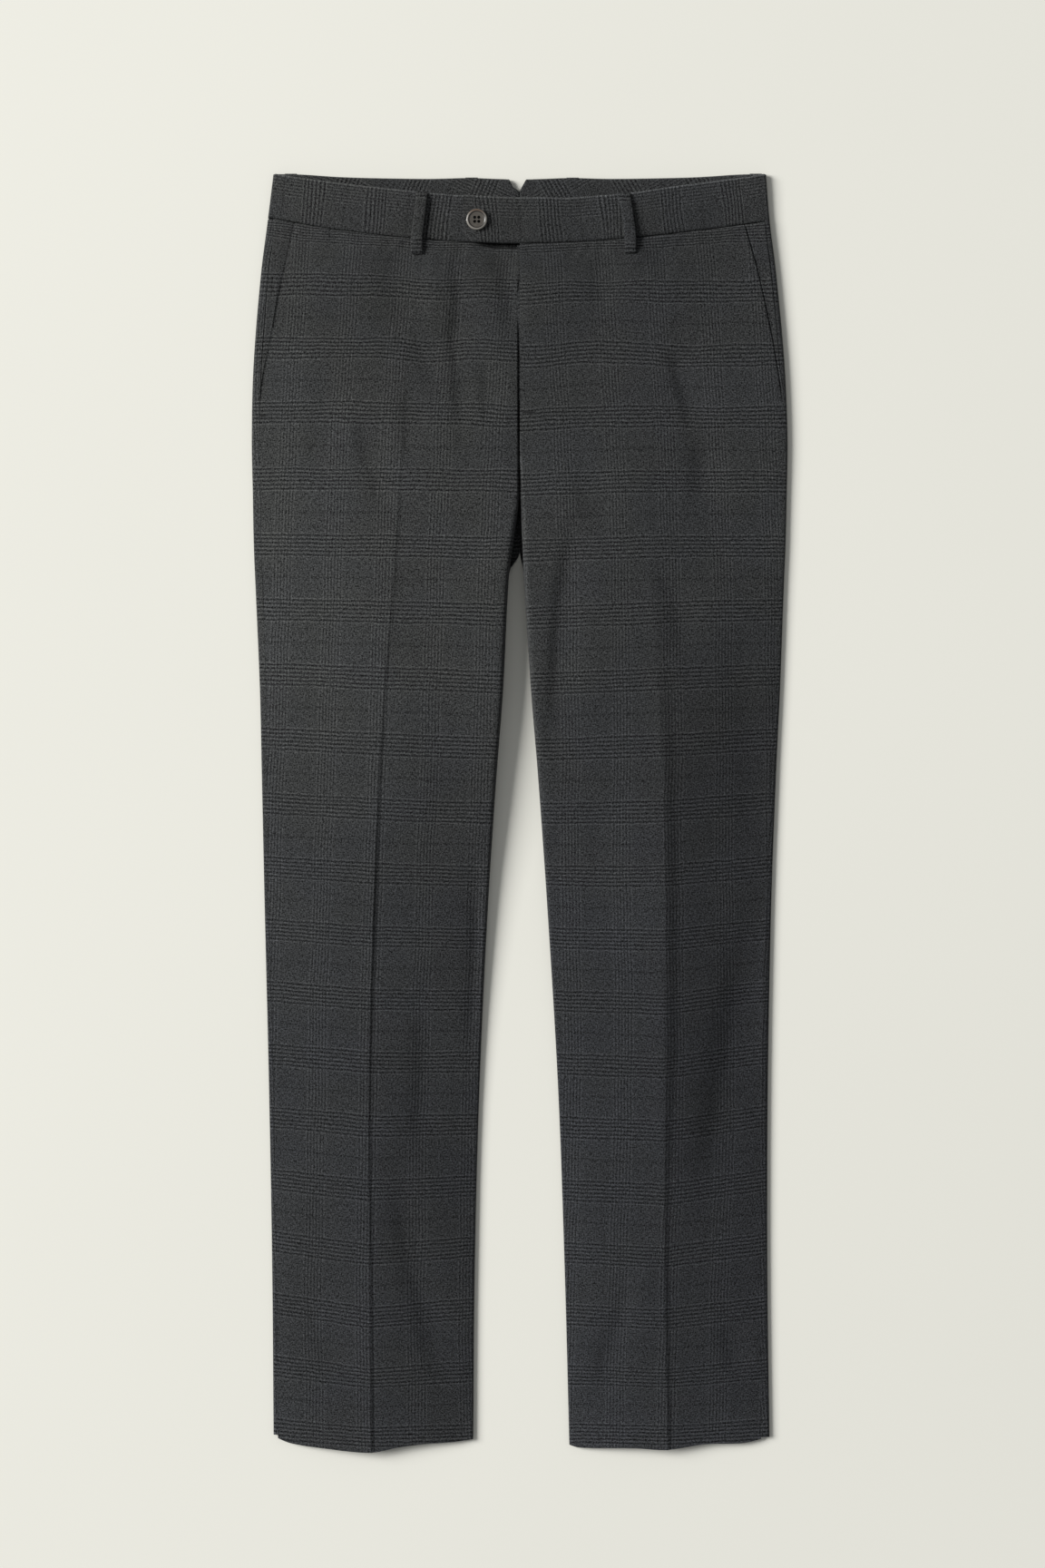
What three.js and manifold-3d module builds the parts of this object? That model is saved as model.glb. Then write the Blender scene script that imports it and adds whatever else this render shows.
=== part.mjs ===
// Pressed check chinos laid out flat, front side up.
// Millimetres. +X is the wearer's left, +Y points to the waist, +Z up from the surface they lie on.
// The origin is on that surface, under the middle of the garment.
// Each leg is a flattened tube of cloth: a back panel on the surface and a front panel over it, tented
// along its pressed crease. Panels meet at the side seam and the inseam, and at the centre line above.

import * as THREE from 'three';
import { mergeVertices } from 'three/addons/utils/BufferGeometryUtils.js';
import Module from 'manifold-3d';

// ---- Driving dimensions ------------------------------------------------------------------------------

const CLOTH = 1.2; // wall of the trouser cloth
const BAND_WALL = 2.2; // waistband, cloth over stiffening
const FACING_WALL = 1.0; // facing inside the waistband
const LOOP_WALL = 1.6; // belt loop, folded cloth
const GAP = 0.3; // between neighbouring pieces
const HALF_GAP = GAP / 2;

const CROTCH_Y = 270; // the fronts part here
const LIP_LENGTH = 16; // below it the inner edge turns down over this length
const FORK_TOP = 224; // the seat seam starts to part
const FORK_LOW = 198; // and the inseams are whole from here down
const INSEAM_ROLL = 5; // how far the inner edge rounds over
const HEM_REACH = 110; // the hem's slant fades out this far above it
const WAIST_REACH = 90; // and the waist seam's dip this far below it

const BAND_LIFT = 1.9; // the back waistband lies on its belt loops
const LIFT_FROM = 465;
const LIFT_TO = 503;

const SEAM_Y = 484.4; // waist seam at the centre front
const SEAM_RISE = 20.6; // and its rise to the side
const FRONT_TOP_Y = 521.7; // top of the front waistband at the centre
const FRONT_TOP_RISE = 20.8;
const BACK_TOP_Y = 537.8; // top of the back waistband
const BACK_TOP_RISE = 4.1;
const BACK_SEAM_Y = 500.5;
const BACK_SEAM_RISE = 4.2;
const SIDE_X = 210; // where front and back waistband turn into each other

const FLY_RAISE = 2.7; // the left front lies on the right one along the fly
const FLY_WIDTH = 42;
const FLY_UNDER = 3; // the right front reaches this far under it
const FLY_END_Y = 300;
const FLY_FULL_Y = 345;
const FLY_TUCK_Y = 335; // above it the right front runs under the left one

const TAB_LENGTH = 48; // waistband extension past the centre
const TAB_CORNER = 11.5; // its rounded lower corner
const TAB_LIFT = 1.0; // how far its free end stands up

const LOOP_WIDTH = 10.4;
const LOOP_STAND = 2.6; // the front loops stand off the waistband
const LOOP_DROP = 11; // their ends reach this far below the waist seam
const LOOP_WRAP = 0.9; // the back loops fold up over the top edge by this wall
const LOOP_TIP = 0.6; // and thin out to this at their lower ends

const FACING_EDGE = 0.8; // the facing stays this far below the waistband's top
const FACING_LOW = 4; // and this far above the waist seam
const NOTCH_FOOT_Y = 529.6; // lowest point of the notch in the back waistband

const UNDERLAP = { fromX: -2, toX: 36, topY: 482, lowY: 350, corner: 16 };

const BUTTON_RADIUS = 9.15;
const BUTTON_THICK = 3.4;
const BUTTON_RIM = 2.0; // width of the raised rim
const BUTTON_DISH = 1.0; // depth inside it
const BUTTON_HOLE_RADIUS = 1.0;
const BUTTON_HOLE_PITCH = 3.7;
const BUTTON_X = -38.2;
const BUTTON_Y = 505.2;
const SHANK_RADIUS = 2.6;
const SHANK_HEIGHT = 0.9;

// ---- Cut and drape tables ----------------------------------------------------------------------------

// Plan of each leg, as distances from the centre line.
const PLAN = {
  right: [
    { y: 543, outer: 209.8, crease: 88.0, inner: 0 },
    { y: 505, outer: 214.5, crease: 90.0, inner: 0 },
    { y: 460, outer: 220.3, crease: 92.7, inner: 0 },
    { y: 382, outer: 226.7, crease: 97.3, inner: 0 },
    { y: 320, outer: 228.3, crease: 101.1, inner: 0 },
    { y: 270, outer: 227.4, crease: 103.8, inner: 0 },
    { y: 228, outer: 226.6, crease: 106.1, inner: 5.7 },
    { y: 197, outer: 225.3, crease: 107.8, inner: 9.5 },
    { y: 105, outer: 221.4, crease: 115.2, inner: 14.1 },
    { y: 35, outer: 219.8, crease: 119.6, inner: 19.5 },
    { y: -80, outer: 217.3, crease: 124.5, inner: 27.1 },
    { y: -234, outer: 213.6, crease: 128.6, inner: 34.4 },
    { y: -388, outer: 210.9, crease: 127.7, inner: 38.4 },
    { y: -543, outer: 209.6, crease: 126.6, inner: 39.8 },
  ],
  left: [
    { y: 543, outer: 209.6, crease: 89.5, inner: 0 },
    { y: 505, outer: 212.6, crease: 91.3, inner: 0 },
    { y: 460, outer: 218.2, crease: 93.9, inner: 0 },
    { y: 382, outer: 225.4, crease: 98.3, inner: 0 },
    { y: 320, outer: 228.0, crease: 102.1, inner: 0 },
    { y: 270, outer: 227.3, crease: 105.6, inner: 0 },
    { y: 228, outer: 226.3, crease: 108.1, inner: 2.0 },
    { y: 197, outer: 225.0, crease: 110.1, inner: 3.6 },
    { y: 105, outer: 221.6, crease: 116.4, inner: 9.4 },
    { y: 35, outer: 218.3, crease: 120.6, inner: 15.2 },
    { y: -80, outer: 214.1, crease: 122.6, inner: 23.4 },
    { y: -234, outer: 211.2, crease: 122.3, inner: 32.6 },
    { y: -388, outer: 210.8, crease: 122.2, inner: 38.2 },
    { y: -543, outer: 212.8, crease: 125.4, inner: 42.3 },
  ],
};

// Heights of the top face at the side edge, on the crease and at the inner edge, and how domed the
// cloth between them is: 1 is a tent of flat slopes, 2 a round dome.
const HEIGHTS = [
  { y: 543, side: 9.4, crease: 16.0, inner: 15.0, dome: 2.0 },
  { y: 460, side: 7.8, crease: 17.0, inner: 15.8, dome: 2.0 },
  { y: 320, side: 6.8, crease: 18.5, inner: 17.0, dome: 2.0 },
  { y: 270, side: 6.2, crease: 19.5, inner: 18.0, dome: 1.9 },
  { y: 197, side: 5.7, crease: 20.0, inner: 18.0, dome: 1.6 },
  { y: 105, side: 5.2, crease: 18.5, inner: 16.4, dome: 1.3 },
  { y: 35, side: 5.0, crease: 17.0, inner: 14.0, dome: 1.15 },
  { y: -80, side: 5.0, crease: 15.0, inner: 8.6, dome: 1.05 },
  { y: -234, side: 5.0, crease: 13.8, inner: 5.6, dome: 1.0 },
  { y: -388, side: 5.0, crease: 13.8, inner: 5.2, dome: 1.0 },
  { y: -543, side: 5.0, crease: 15.6, inner: 5.2, dome: 1.0 },
];

// How far the side seam and the slanted pocket edge lie inside the outer edge.
const SIDE_SEAM = {
  right: [{ y: 500, inset: 6.6 }, { y: 200, inset: 6.4 }, { y: 0, inset: 4.2 }, { y: -543, inset: 3.8 }],
  left: [{ y: 500, inset: 4.0 }, { y: 200, inset: 4.2 }, { y: -80, inset: 5.2 }, { y: -543, inset: 7.2 }],
};
const POCKET = {
  right: [{ y: 505, inset: 24.6 }, { y: 460, inset: 20.4 }, { y: 411, inset: 15.2 }, { y: 348, inset: 6.8 }],
  left: [{ y: 505, inset: 23.4 }, { y: 460, inset: 16.4 }, { y: 411, inset: 10.4 }, { y: 348, inset: 4.2 }],
};
const POCKET_END_Y = 348;
const POCKET_UNDER = 16; // the facing reaches this far under the front

// Lower edge of each front panel, by distance from the centre line.
const HEM = {
  right: [
    { d: 40, y: -532.0 }, { d: 57, y: -534.7 }, { d: 103, y: -540.0 }, { d: 126.5, y: -543.0 },
    { d: 165, y: -539.0 }, { d: 196, y: -533.6 }, { d: 210, y: -527.8 },
  ],
  left: [
    { d: 42, y: -535.5 }, { d: 51, y: -538.0 }, { d: 97, y: -538.9 }, { d: 125.4, y: -540.9 },
    { d: 158, y: -537.2 }, { d: 189, y: -535.3 }, { d: 205, y: -532.2 }, { d: 213, y: -529.9 },
  ],
};
const BACK_HEM_Y = { right: -529, left: -531 };

// Largest soft troughs in the front panels: where each starts and ends, half its width and its depth.
const TROUGHS = [
  { x0: -94, y0: 470, x1: -93, y1: 352, half: 13, depth: 1.6 },
  { x0: -51, y0: 476, x1: -52, y1: 380, half: 12, depth: 1.1 },
  { x0: 191, y0: -92, x1: 150, y1: -326, half: 16, depth: 2.0 },
  { x0: -89, y0: -310, x1: -69, y1: -484, half: 15, depth: 1.8 },
];

// End of the back waistband at the centre notch, as the distance from the centre line at each height.
const NOTCH = {
  right: [{ y: NOTCH_FOOT_Y, end: HALF_GAP }, { y: 531.6, end: 5.4 }, { y: 537.8, end: 9.8 }],
  left: [{ y: NOTCH_FOOT_Y, end: HALF_GAP }, { y: 533, end: 1.6 }, { y: 537.8, end: 3.2 }],
};

const SIDE = { right: -1, left: 1 };

// ---- Small maths -------------------------------------------------------------------------------------

const mix = (a, b, t) => a + (b - a) * t;
const clamp01 = (t) => Math.min(1, Math.max(0, t));
const ease = (from, to, value) => {
  const t = clamp01((value - from) / (to - from));
  return t * t * (3 - 2 * t);
};

// Smooth curve through a table's rows, read at key; the rows may run up or down in key.
function read(rows, key, name, at) {
  const sorted = rows[0][key] < rows[rows.length - 1][key] ? rows : [...rows].reverse();
  const last = sorted.length - 1;
  let i = 0;
  while (i < last - 1 && at > sorted[i + 1][key]) i += 1;
  const slope = (k) => {
    const a = sorted[Math.max(0, k - 1)];
    const b = sorted[Math.min(last, k + 1)];
    return (b[name] - a[name]) / (b[key] - a[key]);
  };
  const a = sorted[i];
  const b = sorted[i + 1];
  const h = b[key] - a[key];
  const t = clamp01((at - a[key]) / h);
  const t2 = t * t;
  const t3 = t2 * t;
  return (2 * t3 - 3 * t2 + 1) * a[name] + (t3 - 2 * t2 + t) * h * slope(i)
    + (3 * t2 - 2 * t3) * b[name] + (t3 - t2) * h * slope(i + 1);
}

// Straight lines through a table's rows.
function readStraight(rows, key, name, at) {
  let i = 0;
  while (i < rows.length - 2 && at > rows[i + 1][key]) i += 1;
  const t = clamp01((at - rows[i][key]) / (rows[i + 1][key] - rows[i][key]));
  return mix(rows[i][name], rows[i + 1][name], t);
}

// ---- Waist and hem lines -----------------------------------------------------------------------------

const rise = (d, power) => (Math.abs(d) / SIDE_X) ** power;
const frontSeamY = (d) => SEAM_Y + SEAM_RISE * rise(d, 1.75);
const frontTopY = (d) => FRONT_TOP_Y + FRONT_TOP_RISE * rise(d, 1.6);
const backSeamY = (d) => BACK_SEAM_Y + BACK_SEAM_RISE * rise(d, 2.5);
const backTopY = (d) => BACK_TOP_Y + BACK_TOP_RISE * rise(d, 2.5);

// ---- The garment's outer surface ---------------------------------------------------------------------

const baseZ = (y) => BAND_LIFT * ease(LIFT_FROM, LIFT_TO, y);

// Everything that one section across a leg needs, at height y.
function station(leg, y) {
  const base = baseZ(y);
  const plan = (name) => read(PLAN[leg], 'y', name, y);
  const height = (name) => read(HEIGHTS, 'y', name, y);
  return {
    y,
    base,
    outer: plan('outer'),
    crease: plan('crease'),
    inner: Math.max(0, plan('inner')),
    sideZ: height('side'),
    creaseZ: height('crease'),
    innerZ: height('inner'),
    dome: height('dome'),
    roll: (height('side') - base) / 2,
    innerRoll: Math.min(INSEAM_ROLL, (height('inner') - base) / 2),
    parted: 1 - ease(CROTCH_Y - LIP_LENGTH, CROTCH_Y, y),
    fork: 1 - ease(FORK_LOW, FORK_TOP, y),
  };
}

// Depth of the troughs at a point of the front.
function troughDepth(x, y) {
  let depth = 0;
  for (const f of TROUGHS) {
    const lx = f.x1 - f.x0;
    const ly = f.y1 - f.y0;
    const along = ((x - f.x0) * lx + (y - f.y0) * ly) / (lx * lx + ly * ly);
    const away = ((x - f.x0) * ly - (y - f.y0) * lx) / Math.hypot(lx, ly) / f.half;
    const ends = ease(-0.15, 0.25, along) * (1 - ease(0.75, 1.15, along));
    depth += f.depth * ends * Math.exp(-away * away * 1.5);
  }
  return depth;
}

// Height of the front's top face at distance d from the centre line.
function frontZ(leg, st, d) {
  const x = SIDE[leg] * d;
  const start = st.outer - st.roll;
  const sag = troughDepth(x, st.y);
  if (d > st.crease) {
    const t = clamp01((start - d) / (start - st.crease));
    return st.sideZ + (st.creaseZ - st.sideZ) * (1 - (1 - t) ** st.dome) - sag;
  }
  const end = st.inner + st.innerRoll * st.parted;
  const t = clamp01((st.crease - d) / (st.crease - end));
  return st.innerZ + (st.creaseZ - st.innerZ) * (1 - t ** st.dome) - sag;
}

// Points of an ellipse's quarter, from angle a to b in quarter turns.
function quarter(cd, cz, rd, rz, a, b, steps) {
  const points = [];
  for (let k = 0; k <= steps; k += 1) {
    const turn = mix(a, b, k / steps) * Math.PI / 2;
    points.push([cd + rd * Math.cos(turn), cz + rz * Math.sin(turn)]);
  }
  return points;
}

const FLAT_STEPS = 24;
const ROLL_STEPS = 10;

// The front's section from the bottom of the side roll, over the crease, to the foot of the inner edge.
function overLine(leg, st) {
  const points = quarter(st.outer - st.roll, st.base + st.roll, st.roll, st.roll, -1, 1, 2 * ROLL_STEPS);
  const start = st.outer - st.roll;
  const end = st.inner + st.innerRoll * st.parted;
  for (let k = 1; k <= FLAT_STEPS; k += 1) {
    const d = mix(start, st.crease, k / FLAT_STEPS);
    points.push([d, frontZ(leg, st, d)]);
  }
  for (let k = 1; k <= FLAT_STEPS; k += 1) {
    const d = mix(st.crease, end, k / FLAT_STEPS);
    points.push([d, frontZ(leg, st, d)]);
  }
  if (st.parted > 0) {
    const half = (st.innerZ - st.base) / 2;
    const rolled = quarter(end, st.base + half, -st.innerRoll * st.parted, half, 1, -1, 2 * ROLL_STEPS);
    points.push(...rolled.slice(1));
  }
  return points;
}

// The back's section from the bottom of the side roll, along the surface, to its inner end.
function underLine(st) {
  const start = st.outer - st.roll;
  const turn = st.inner + st.innerRoll;
  const points = [[start, st.base], [mix(start, turn, 0.5), st.base], [turn, st.base]];
  const half = (st.innerZ - st.base) / 2;
  const seamTurn = Math.asin(clamp01(1 - (inseamZ(st) - HALF_GAP - st.base) / half)) / (Math.PI / 2);
  const rolled = quarter(turn, st.base + half, -st.innerRoll, half, -1, -seamTurn, ROLL_STEPS);
  for (let k = 1; k <= ROLL_STEPS; k += 1) {
    const flat = mix(turn, HALF_GAP, k / ROLL_STEPS);
    points.push([mix(flat, rolled[k][0], st.fork), mix(st.base, rolled[k][1], st.fork)]);
  }
  return points;
}

// Height of the inseam on the inner edge: half way up, but at the foot where the seat shows between.
const inseamZ = (st) => mix(st.base + CLOTH + 2 * GAP, (st.base + st.innerZ) / 2, st.fork);

// ---- Lines measured along the cloth ------------------------------------------------------------------

function lengths(points) {
  const sums = [0];
  for (let k = 1; k < points.length; k += 1) {
    sums.push(sums[k - 1] + Math.hypot(points[k][0] - points[k - 1][0], points[k][1] - points[k - 1][1]));
  }
  return sums;
}

function pointAt(points, sums, s) {
  let k = 0;
  while (k < points.length - 2 && s > sums[k + 1]) k += 1;
  const t = (s - sums[k]) / (sums[k + 1] - sums[k]);
  return [mix(points[k][0], points[k + 1][0], t), mix(points[k][1], points[k + 1][1], t)];
}

// A place on the line and the line's direction there, as [d, z, along d, along z].
function placeAt(points, sums, s) {
  const step = 0.4;
  const before = pointAt(points, sums, Math.max(0, s - step));
  const after = pointAt(points, sums, Math.min(sums[sums.length - 1], s + step));
  return [...pointAt(points, sums, s), after[0] - before[0], after[1] - before[1]];
}

// The length along the line where test(point) first holds.
function lengthWhere(points, sums, test) {
  for (let k = 1; k < points.length; k += 1) {
    if (test(points[k])) {
      let low = sums[k - 1];
      let high = sums[k];
      for (let n = 0; n < 20; n += 1) {
        const middle = (low + high) / 2;
        if (test(pointAt(points, sums, middle))) high = middle;
        else low = middle;
      }
      return high;
    }
  }
  return sums[sums.length - 1];
}

// Columns across a panel: each stretch between two marks gets its share of evenly spaced columns.
function columnLengths(marks, counts) {
  const columns = [marks[0]];
  for (let k = 1; k < marks.length; k += 1) {
    for (let n = 1; n <= counts[k - 1]; n += 1) columns.push(mix(marks[k - 1], marks[k], n / counts[k - 1]));
  }
  return columns;
}

// ---- Section of each panel ---------------------------------------------------------------------------

const FRONT_COLUMNS = [7, 6, 3]; // side to crease, crease to the inner roll, the roll
const BACK_COLUMNS = [4, 5, 3]; // the side roll, the flat, the inner roll
const SHORTEST_ROLL = 6;

const sideInset = (leg, y) => read(SIDE_SEAM[leg], 'y', 'inset', y);
const frontInset = (leg, y) => {
  const seam = sideInset(leg, y);
  return y > POCKET_END_Y ? Math.max(seam, read(POCKET[leg], 'y', 'inset', y)) : seam;
};

// Length along the over line where it lies this far inside the outer edge, on its top side.
function insetLength(points, sums, st, inset) {
  return lengthWhere(points, sums, ([d, z]) => z > st.base + st.roll && d < st.outer - inset);
}

function frontSection(leg, y) {
  const st = station(leg, y);
  const line = overLine(leg, st);
  const sums = lengths(line);
  const from = insetLength(line, sums, st, frontInset(leg, y)) + HALF_GAP;
  const crease = lengthWhere(line, sums, ([d]) => d < st.crease);
  let to = sums[sums.length - 1] - HALF_GAP;
  const under = leg === 'right' ? (FLY_UNDER + GAP) * ease(FLY_TUCK_Y, FLY_TUCK_Y + 25, y) : 0;
  if (st.parted > 0) {
    const edge = lengthWhere(line, sums, ([d]) => d < st.inner + st.innerRoll * st.parted);
    const foot = lengthWhere(line, sums, ([d, z]) => d < st.crease && z < inseamZ(st) + HALF_GAP);
    to = mix(edge, foot, st.parted);
  }
  const roll = Math.max(SHORTEST_ROLL, (to - lengthWhere(line, sums, ([d]) => d < st.inner + st.innerRoll)));
  const columns = columnLengths([from, crease, to - roll, to], FRONT_COLUMNS);
  const points = columns.map((s) => placeAt(line, sums, s));
  points[points.length - 1][0] -= under;
  return points;
}

function backSection(leg, y) {
  const st = station(leg, y);
  const over = overLine(leg, st);
  const overSums = lengths(over);
  const seam = insetLength(over, overSums, st, sideInset(leg, y)) - HALF_GAP;
  const roll = columnLengths([seam, 0], [BACK_COLUMNS[0]]).map((s) => {
    const [d, z, alongD, alongZ] = placeAt(over, overSums, s);
    return [d, z, -alongD, -alongZ];
  });
  const under = underLine(st);
  const sums = lengths(under);
  const to = sums[sums.length - 1];
  const turn = lengthWhere(under, sums, ([d]) => d <= st.inner + st.innerRoll);
  const columns = columnLengths([0, Math.min(turn, to - SHORTEST_ROLL), to], BACK_COLUMNS.slice(1));
  return [...roll, ...columns.slice(1).map((s) => placeAt(under, sums, s))];
}

// ---- Solid walls from a grid of outer points ---------------------------------------------------------

const subtract = (a, b) => [a[0] - b[0], a[1] - b[1], a[2] - b[2]];
const cross = (a, b) => [a[1] * b[2] - a[2] * b[1], a[2] * b[0] - a[0] * b[2], a[0] * b[1] - a[1] * b[0]];
const unit = (a) => {
  const size = Math.hypot(...a);
  return a.map((v) => v / size);
};
const moved = (p, n, by) => p.map((v, k) => v + n[k] * by);

// Directions out of the cloth. headings gives each point's direction across its row where it is known.
function normals(grid, outward, headings) {
  const rows = grid.length;
  const columns = grid[0].length;
  return grid.map((row, r) => row.map((point, c) => {
    const along = subtract(grid[Math.min(rows - 1, r + 1)][c], grid[Math.max(0, r - 1)][c]);
    const neighbours = subtract(row[Math.min(columns - 1, c + 1)], row[Math.max(0, c - 1)]);
    const across = headings ? headings[r][c] : neighbours;
    return unit(cross(along, across)).map((v) => v * outward);
  }));
}

function meshFrom(vertices, triangles) {
  let volume = 0;
  for (const [a, b, c] of triangles) {
    const n = cross(vertices[b], vertices[c]);
    volume += vertices[a][0] * n[0] + vertices[a][1] * n[1] + vertices[a][2] * n[2];
  }
  const faces = volume < 0 ? triangles.map(([a, b, c]) => [a, c, b]) : triangles;
  const geometry = new THREE.BufferGeometry();
  geometry.setAttribute('position', new THREE.Float32BufferAttribute(vertices.flat(), 3));
  geometry.setIndex(faces.flat());
  return geometry;
}

// A closed wall: the grid moved along its normals by each of the two offsets.
function wall(grid, outward, outerOffset, thickness, headings) {
  const rows = grid.length;
  const columns = grid[0].length;
  const facing = normals(grid, outward, headings);
  const vertices = [];
  for (const offset of [outerOffset, outerOffset - thickness]) {
    grid.forEach((row, r) => row.forEach((point, c) => vertices.push(moved(point, facing[r][c], offset))));
  }
  const id = (side, r, c) => side * rows * columns + r * columns + c;
  const triangles = [];
  const quad = (a, b, c, d) => triangles.push([a, b, c], [a, c, d]);
  for (let r = 0; r < rows - 1; r += 1) {
    for (let c = 0; c < columns - 1; c += 1) {
      quad(id(0, r, c), id(0, r + 1, c), id(0, r + 1, c + 1), id(0, r, c + 1));
      quad(id(1, r, c), id(1, r, c + 1), id(1, r + 1, c + 1), id(1, r + 1, c));
    }
    quad(id(0, r, 0), id(1, r, 0), id(1, r + 1, 0), id(0, r + 1, 0));
    quad(id(0, r, columns - 1), id(0, r + 1, columns - 1), id(1, r + 1, columns - 1), id(1, r, columns - 1));
  }
  for (let c = 0; c < columns - 1; c += 1) {
    quad(id(0, 0, c), id(0, 0, c + 1), id(1, 0, c + 1), id(1, 0, c));
    quad(id(0, rows - 1, c), id(1, rows - 1, c), id(1, rows - 1, c + 1), id(0, rows - 1, c + 1));
  }
  return meshFrom(vertices, triangles);
}

// ---- Materials and meshes ----------------------------------------------------------------------------

const CHARCOAL = new THREE.Color(0.042, 0.044, 0.044);
const HORN = new THREE.Color(0.16, 0.12, 0.095);
const THREAD = new THREE.Color(0.03, 0.03, 0.032);

function named(name, geometry, color, roughness) {
  const material = new THREE.MeshStandardMaterial({ color: color.clone(), roughness, metalness: 0 });
  const mesh = new THREE.Mesh(geometry, material);
  mesh.name = name;
  return mesh;
}
const cloth = (name, geometry) => named(name, geometry, CHARCOAL, 0.92);

// ---- Leg panels --------------------------------------------------------------------------------------

// Row heights from the waist seam to the hem, closer together round the crotch.
const FRONT_ROWS = [
  SEAM_Y, 462, 436, 408, 378, 348, 322, 296, 276, 262, 246, 230, 214, 200, 170, 130, 85, 40, -10, -60,
  -110, -165, -220, -275, -330, -390, -450, -500, -535,
];
const BACK_ROWS = [
  BACK_SEAM_Y, 484, 465, 430, 378, 348, 322, 296, 262, 240, 226, 216, 206, 196, 170, 130, 85, 40, -10,
  -60, -110, -165, -220, -275, -330, -450, -531,
];

const BEND_ROUNDS = 3; // a point's place across and along the leg settle together

// A panel's points and headings: each nominal row is bent to the waist seam at the top and to the hem
// at the bottom.
function panel(leg, rows, section, topY, hemY) {
  const top = rows[0];
  const hem = rows[rows.length - 1];
  const places = rows.map((row) => section(leg, row).map((start, c) => {
    let y = row;
    let place = start;
    for (let n = 0; n < BEND_ROUNDS; n += 1) {
      const toTop = ease(top - WAIST_REACH, top, row) * (topY(place[0]) - top);
      const toHem = (1 - ease(hem, hem + HEM_REACH, row)) * (hemY(place[0]) - hem);
      y = row + toTop + toHem;
      place = section(leg, y)[c];
    }
    return { y, place };
  }));
  return {
    grid: places.map((row) => row.map(({ y, place }) => [SIDE[leg] * place[0], y, place[1]])),
    headings: places.map((row) => row.map(({ place }) => [SIDE[leg] * place[2], 0, place[3]])),
  };
}

// How far the left front is raised over the right one along the fly.
function flyRaise(x, y) {
  return FLY_RAISE * ease(FLY_END_Y, FLY_FULL_Y, y) * (1 - ease(2, FLY_WIDTH, x));
}

const FRONT_HEM = {
  right: (d) => read(HEM.right, 'd', 'y', d),
  left: (d) => read(HEM.left, 'd', 'y', d),
};

function front(leg) {
  const topY = (d) => frontSeamY(d) - HALF_GAP;
  const { grid, headings } = panel(leg, FRONT_ROWS, frontSection, topY, FRONT_HEM[leg]);
  if (leg === 'left') {
    grid.forEach((row) => row.forEach((point) => {
      point[2] += flyRaise(point[0], point[1]);
    }));
  }
  return cloth(`front_${leg}`, wall(grid, -SIDE[leg], 0, CLOTH, headings));
}

function back(leg) {
  const topY = (d) => backSeamY(d) - HALF_GAP;
  const { grid, headings } = panel(leg, BACK_ROWS, backSection, topY, () => BACK_HEM_Y[leg]);
  return cloth(`back_${leg}`, wall(grid, SIDE[leg], 0, CLOTH, headings));
}

// The cloth behind the slanted pocket edge, one wall below the front.
function pocketFacing(leg) {
  const rows = [500, 478, 452, 424, 396, 368, 344];
  const columns = 6;
  const grid = rows.map((row, r) => {
    const point = (y, c) => {
      const st = station(leg, y);
      const line = overLine(leg, st);
      const sums = lengths(line);
      const from = insetLength(line, sums, st, sideInset(leg, y)) + HALF_GAP;
      const to = insetLength(line, sums, st, frontInset(leg, y) + POCKET_UNDER);
      return pointAt(line, sums, mix(from, to, c / (columns - 1)));
    };
    return Array.from({ length: columns }, (unused, c) => {
      const y = r === 0 ? frontSeamY(point(row, c)[0]) - HALF_GAP : row;
      const [d, z] = point(y, c);
      return [SIDE[leg] * d, y, z];
    });
  });
  return cloth(`pocket_facing_${leg}`, wall(grid, -SIDE[leg], -(CLOTH + GAP), CLOTH));
}

// ---- Fly ---------------------------------------------------------------------------------------------

// Height of the plain front surface at any x, with no fly raise.
function topZ(x, y) {
  const leg = x < 0 ? 'right' : 'left';
  return frontZ(leg, station(leg, y), Math.abs(x));
}

function flyUnderlap() {
  const steps = 4;
  const { fromX, toX, topY, lowY, corner } = UNDERLAP;
  const grid = [];
  for (let r = 0; r <= steps; r += 1) {
    const row = [];
    for (let c = 0; c <= steps; c += 1) {
      const x = mix(fromX, toX, c / steps);
      const cut = r === steps ? Math.max(0, corner - (toX - x)) : 0;
      const y = mix(topY, lowY, r / steps) + cut;
      row.push([x, y, topZ(x, y)]);
    }
    grid.push(row);
  }
  return cloth('fly_underlap', wall(grid, 1, -(CLOTH + GAP), CLOTH));
}

// ---- Waistband ---------------------------------------------------------------------------------------

const BAND_ROWS = 4;
const SIDE_TURN_STEPS = 6;

// Distances from the centre line of the waistband's columns, front and back.
const BAND_FRONT = [0, 18, 42, 70, 98, 126, 154, 180];
const BAND_BACK = [180, 150, 110, 70, 30, 12];
const TAB_COLUMNS = [-TAB_LENGTH, -46, -42.5, -TAB_LENGTH + TAB_CORNER, -24, -8];

// Lower edge of the tab, rounded at its free end.
function tabLowY(x) {
  const inCorner = clamp01((-TAB_LENGTH + TAB_CORNER - x) / TAB_CORNER);
  return frontSeamY(x) + HALF_GAP + TAB_CORNER * (1 - Math.sqrt(1 - inCorner * inCorner));
}

// One column of the waistband, from its top edge to its lower edge.
function bandColumn(topY, lowY, place) {
  return Array.from({ length: BAND_ROWS }, (unused, r) => {
    const y = mix(topY, lowY, r / (BAND_ROWS - 1));
    return place(y);
  });
}

function bandFront(leg, d) {
  return bandColumn(frontTopY(d), frontSeamY(d) + HALF_GAP, (y) => {
    const x = SIDE[leg] * d;
    const raise = leg === 'left' ? flyRaise(x, y) : 0;
    return [x, y, topZ(x, y) + raise];
  });
}

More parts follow.
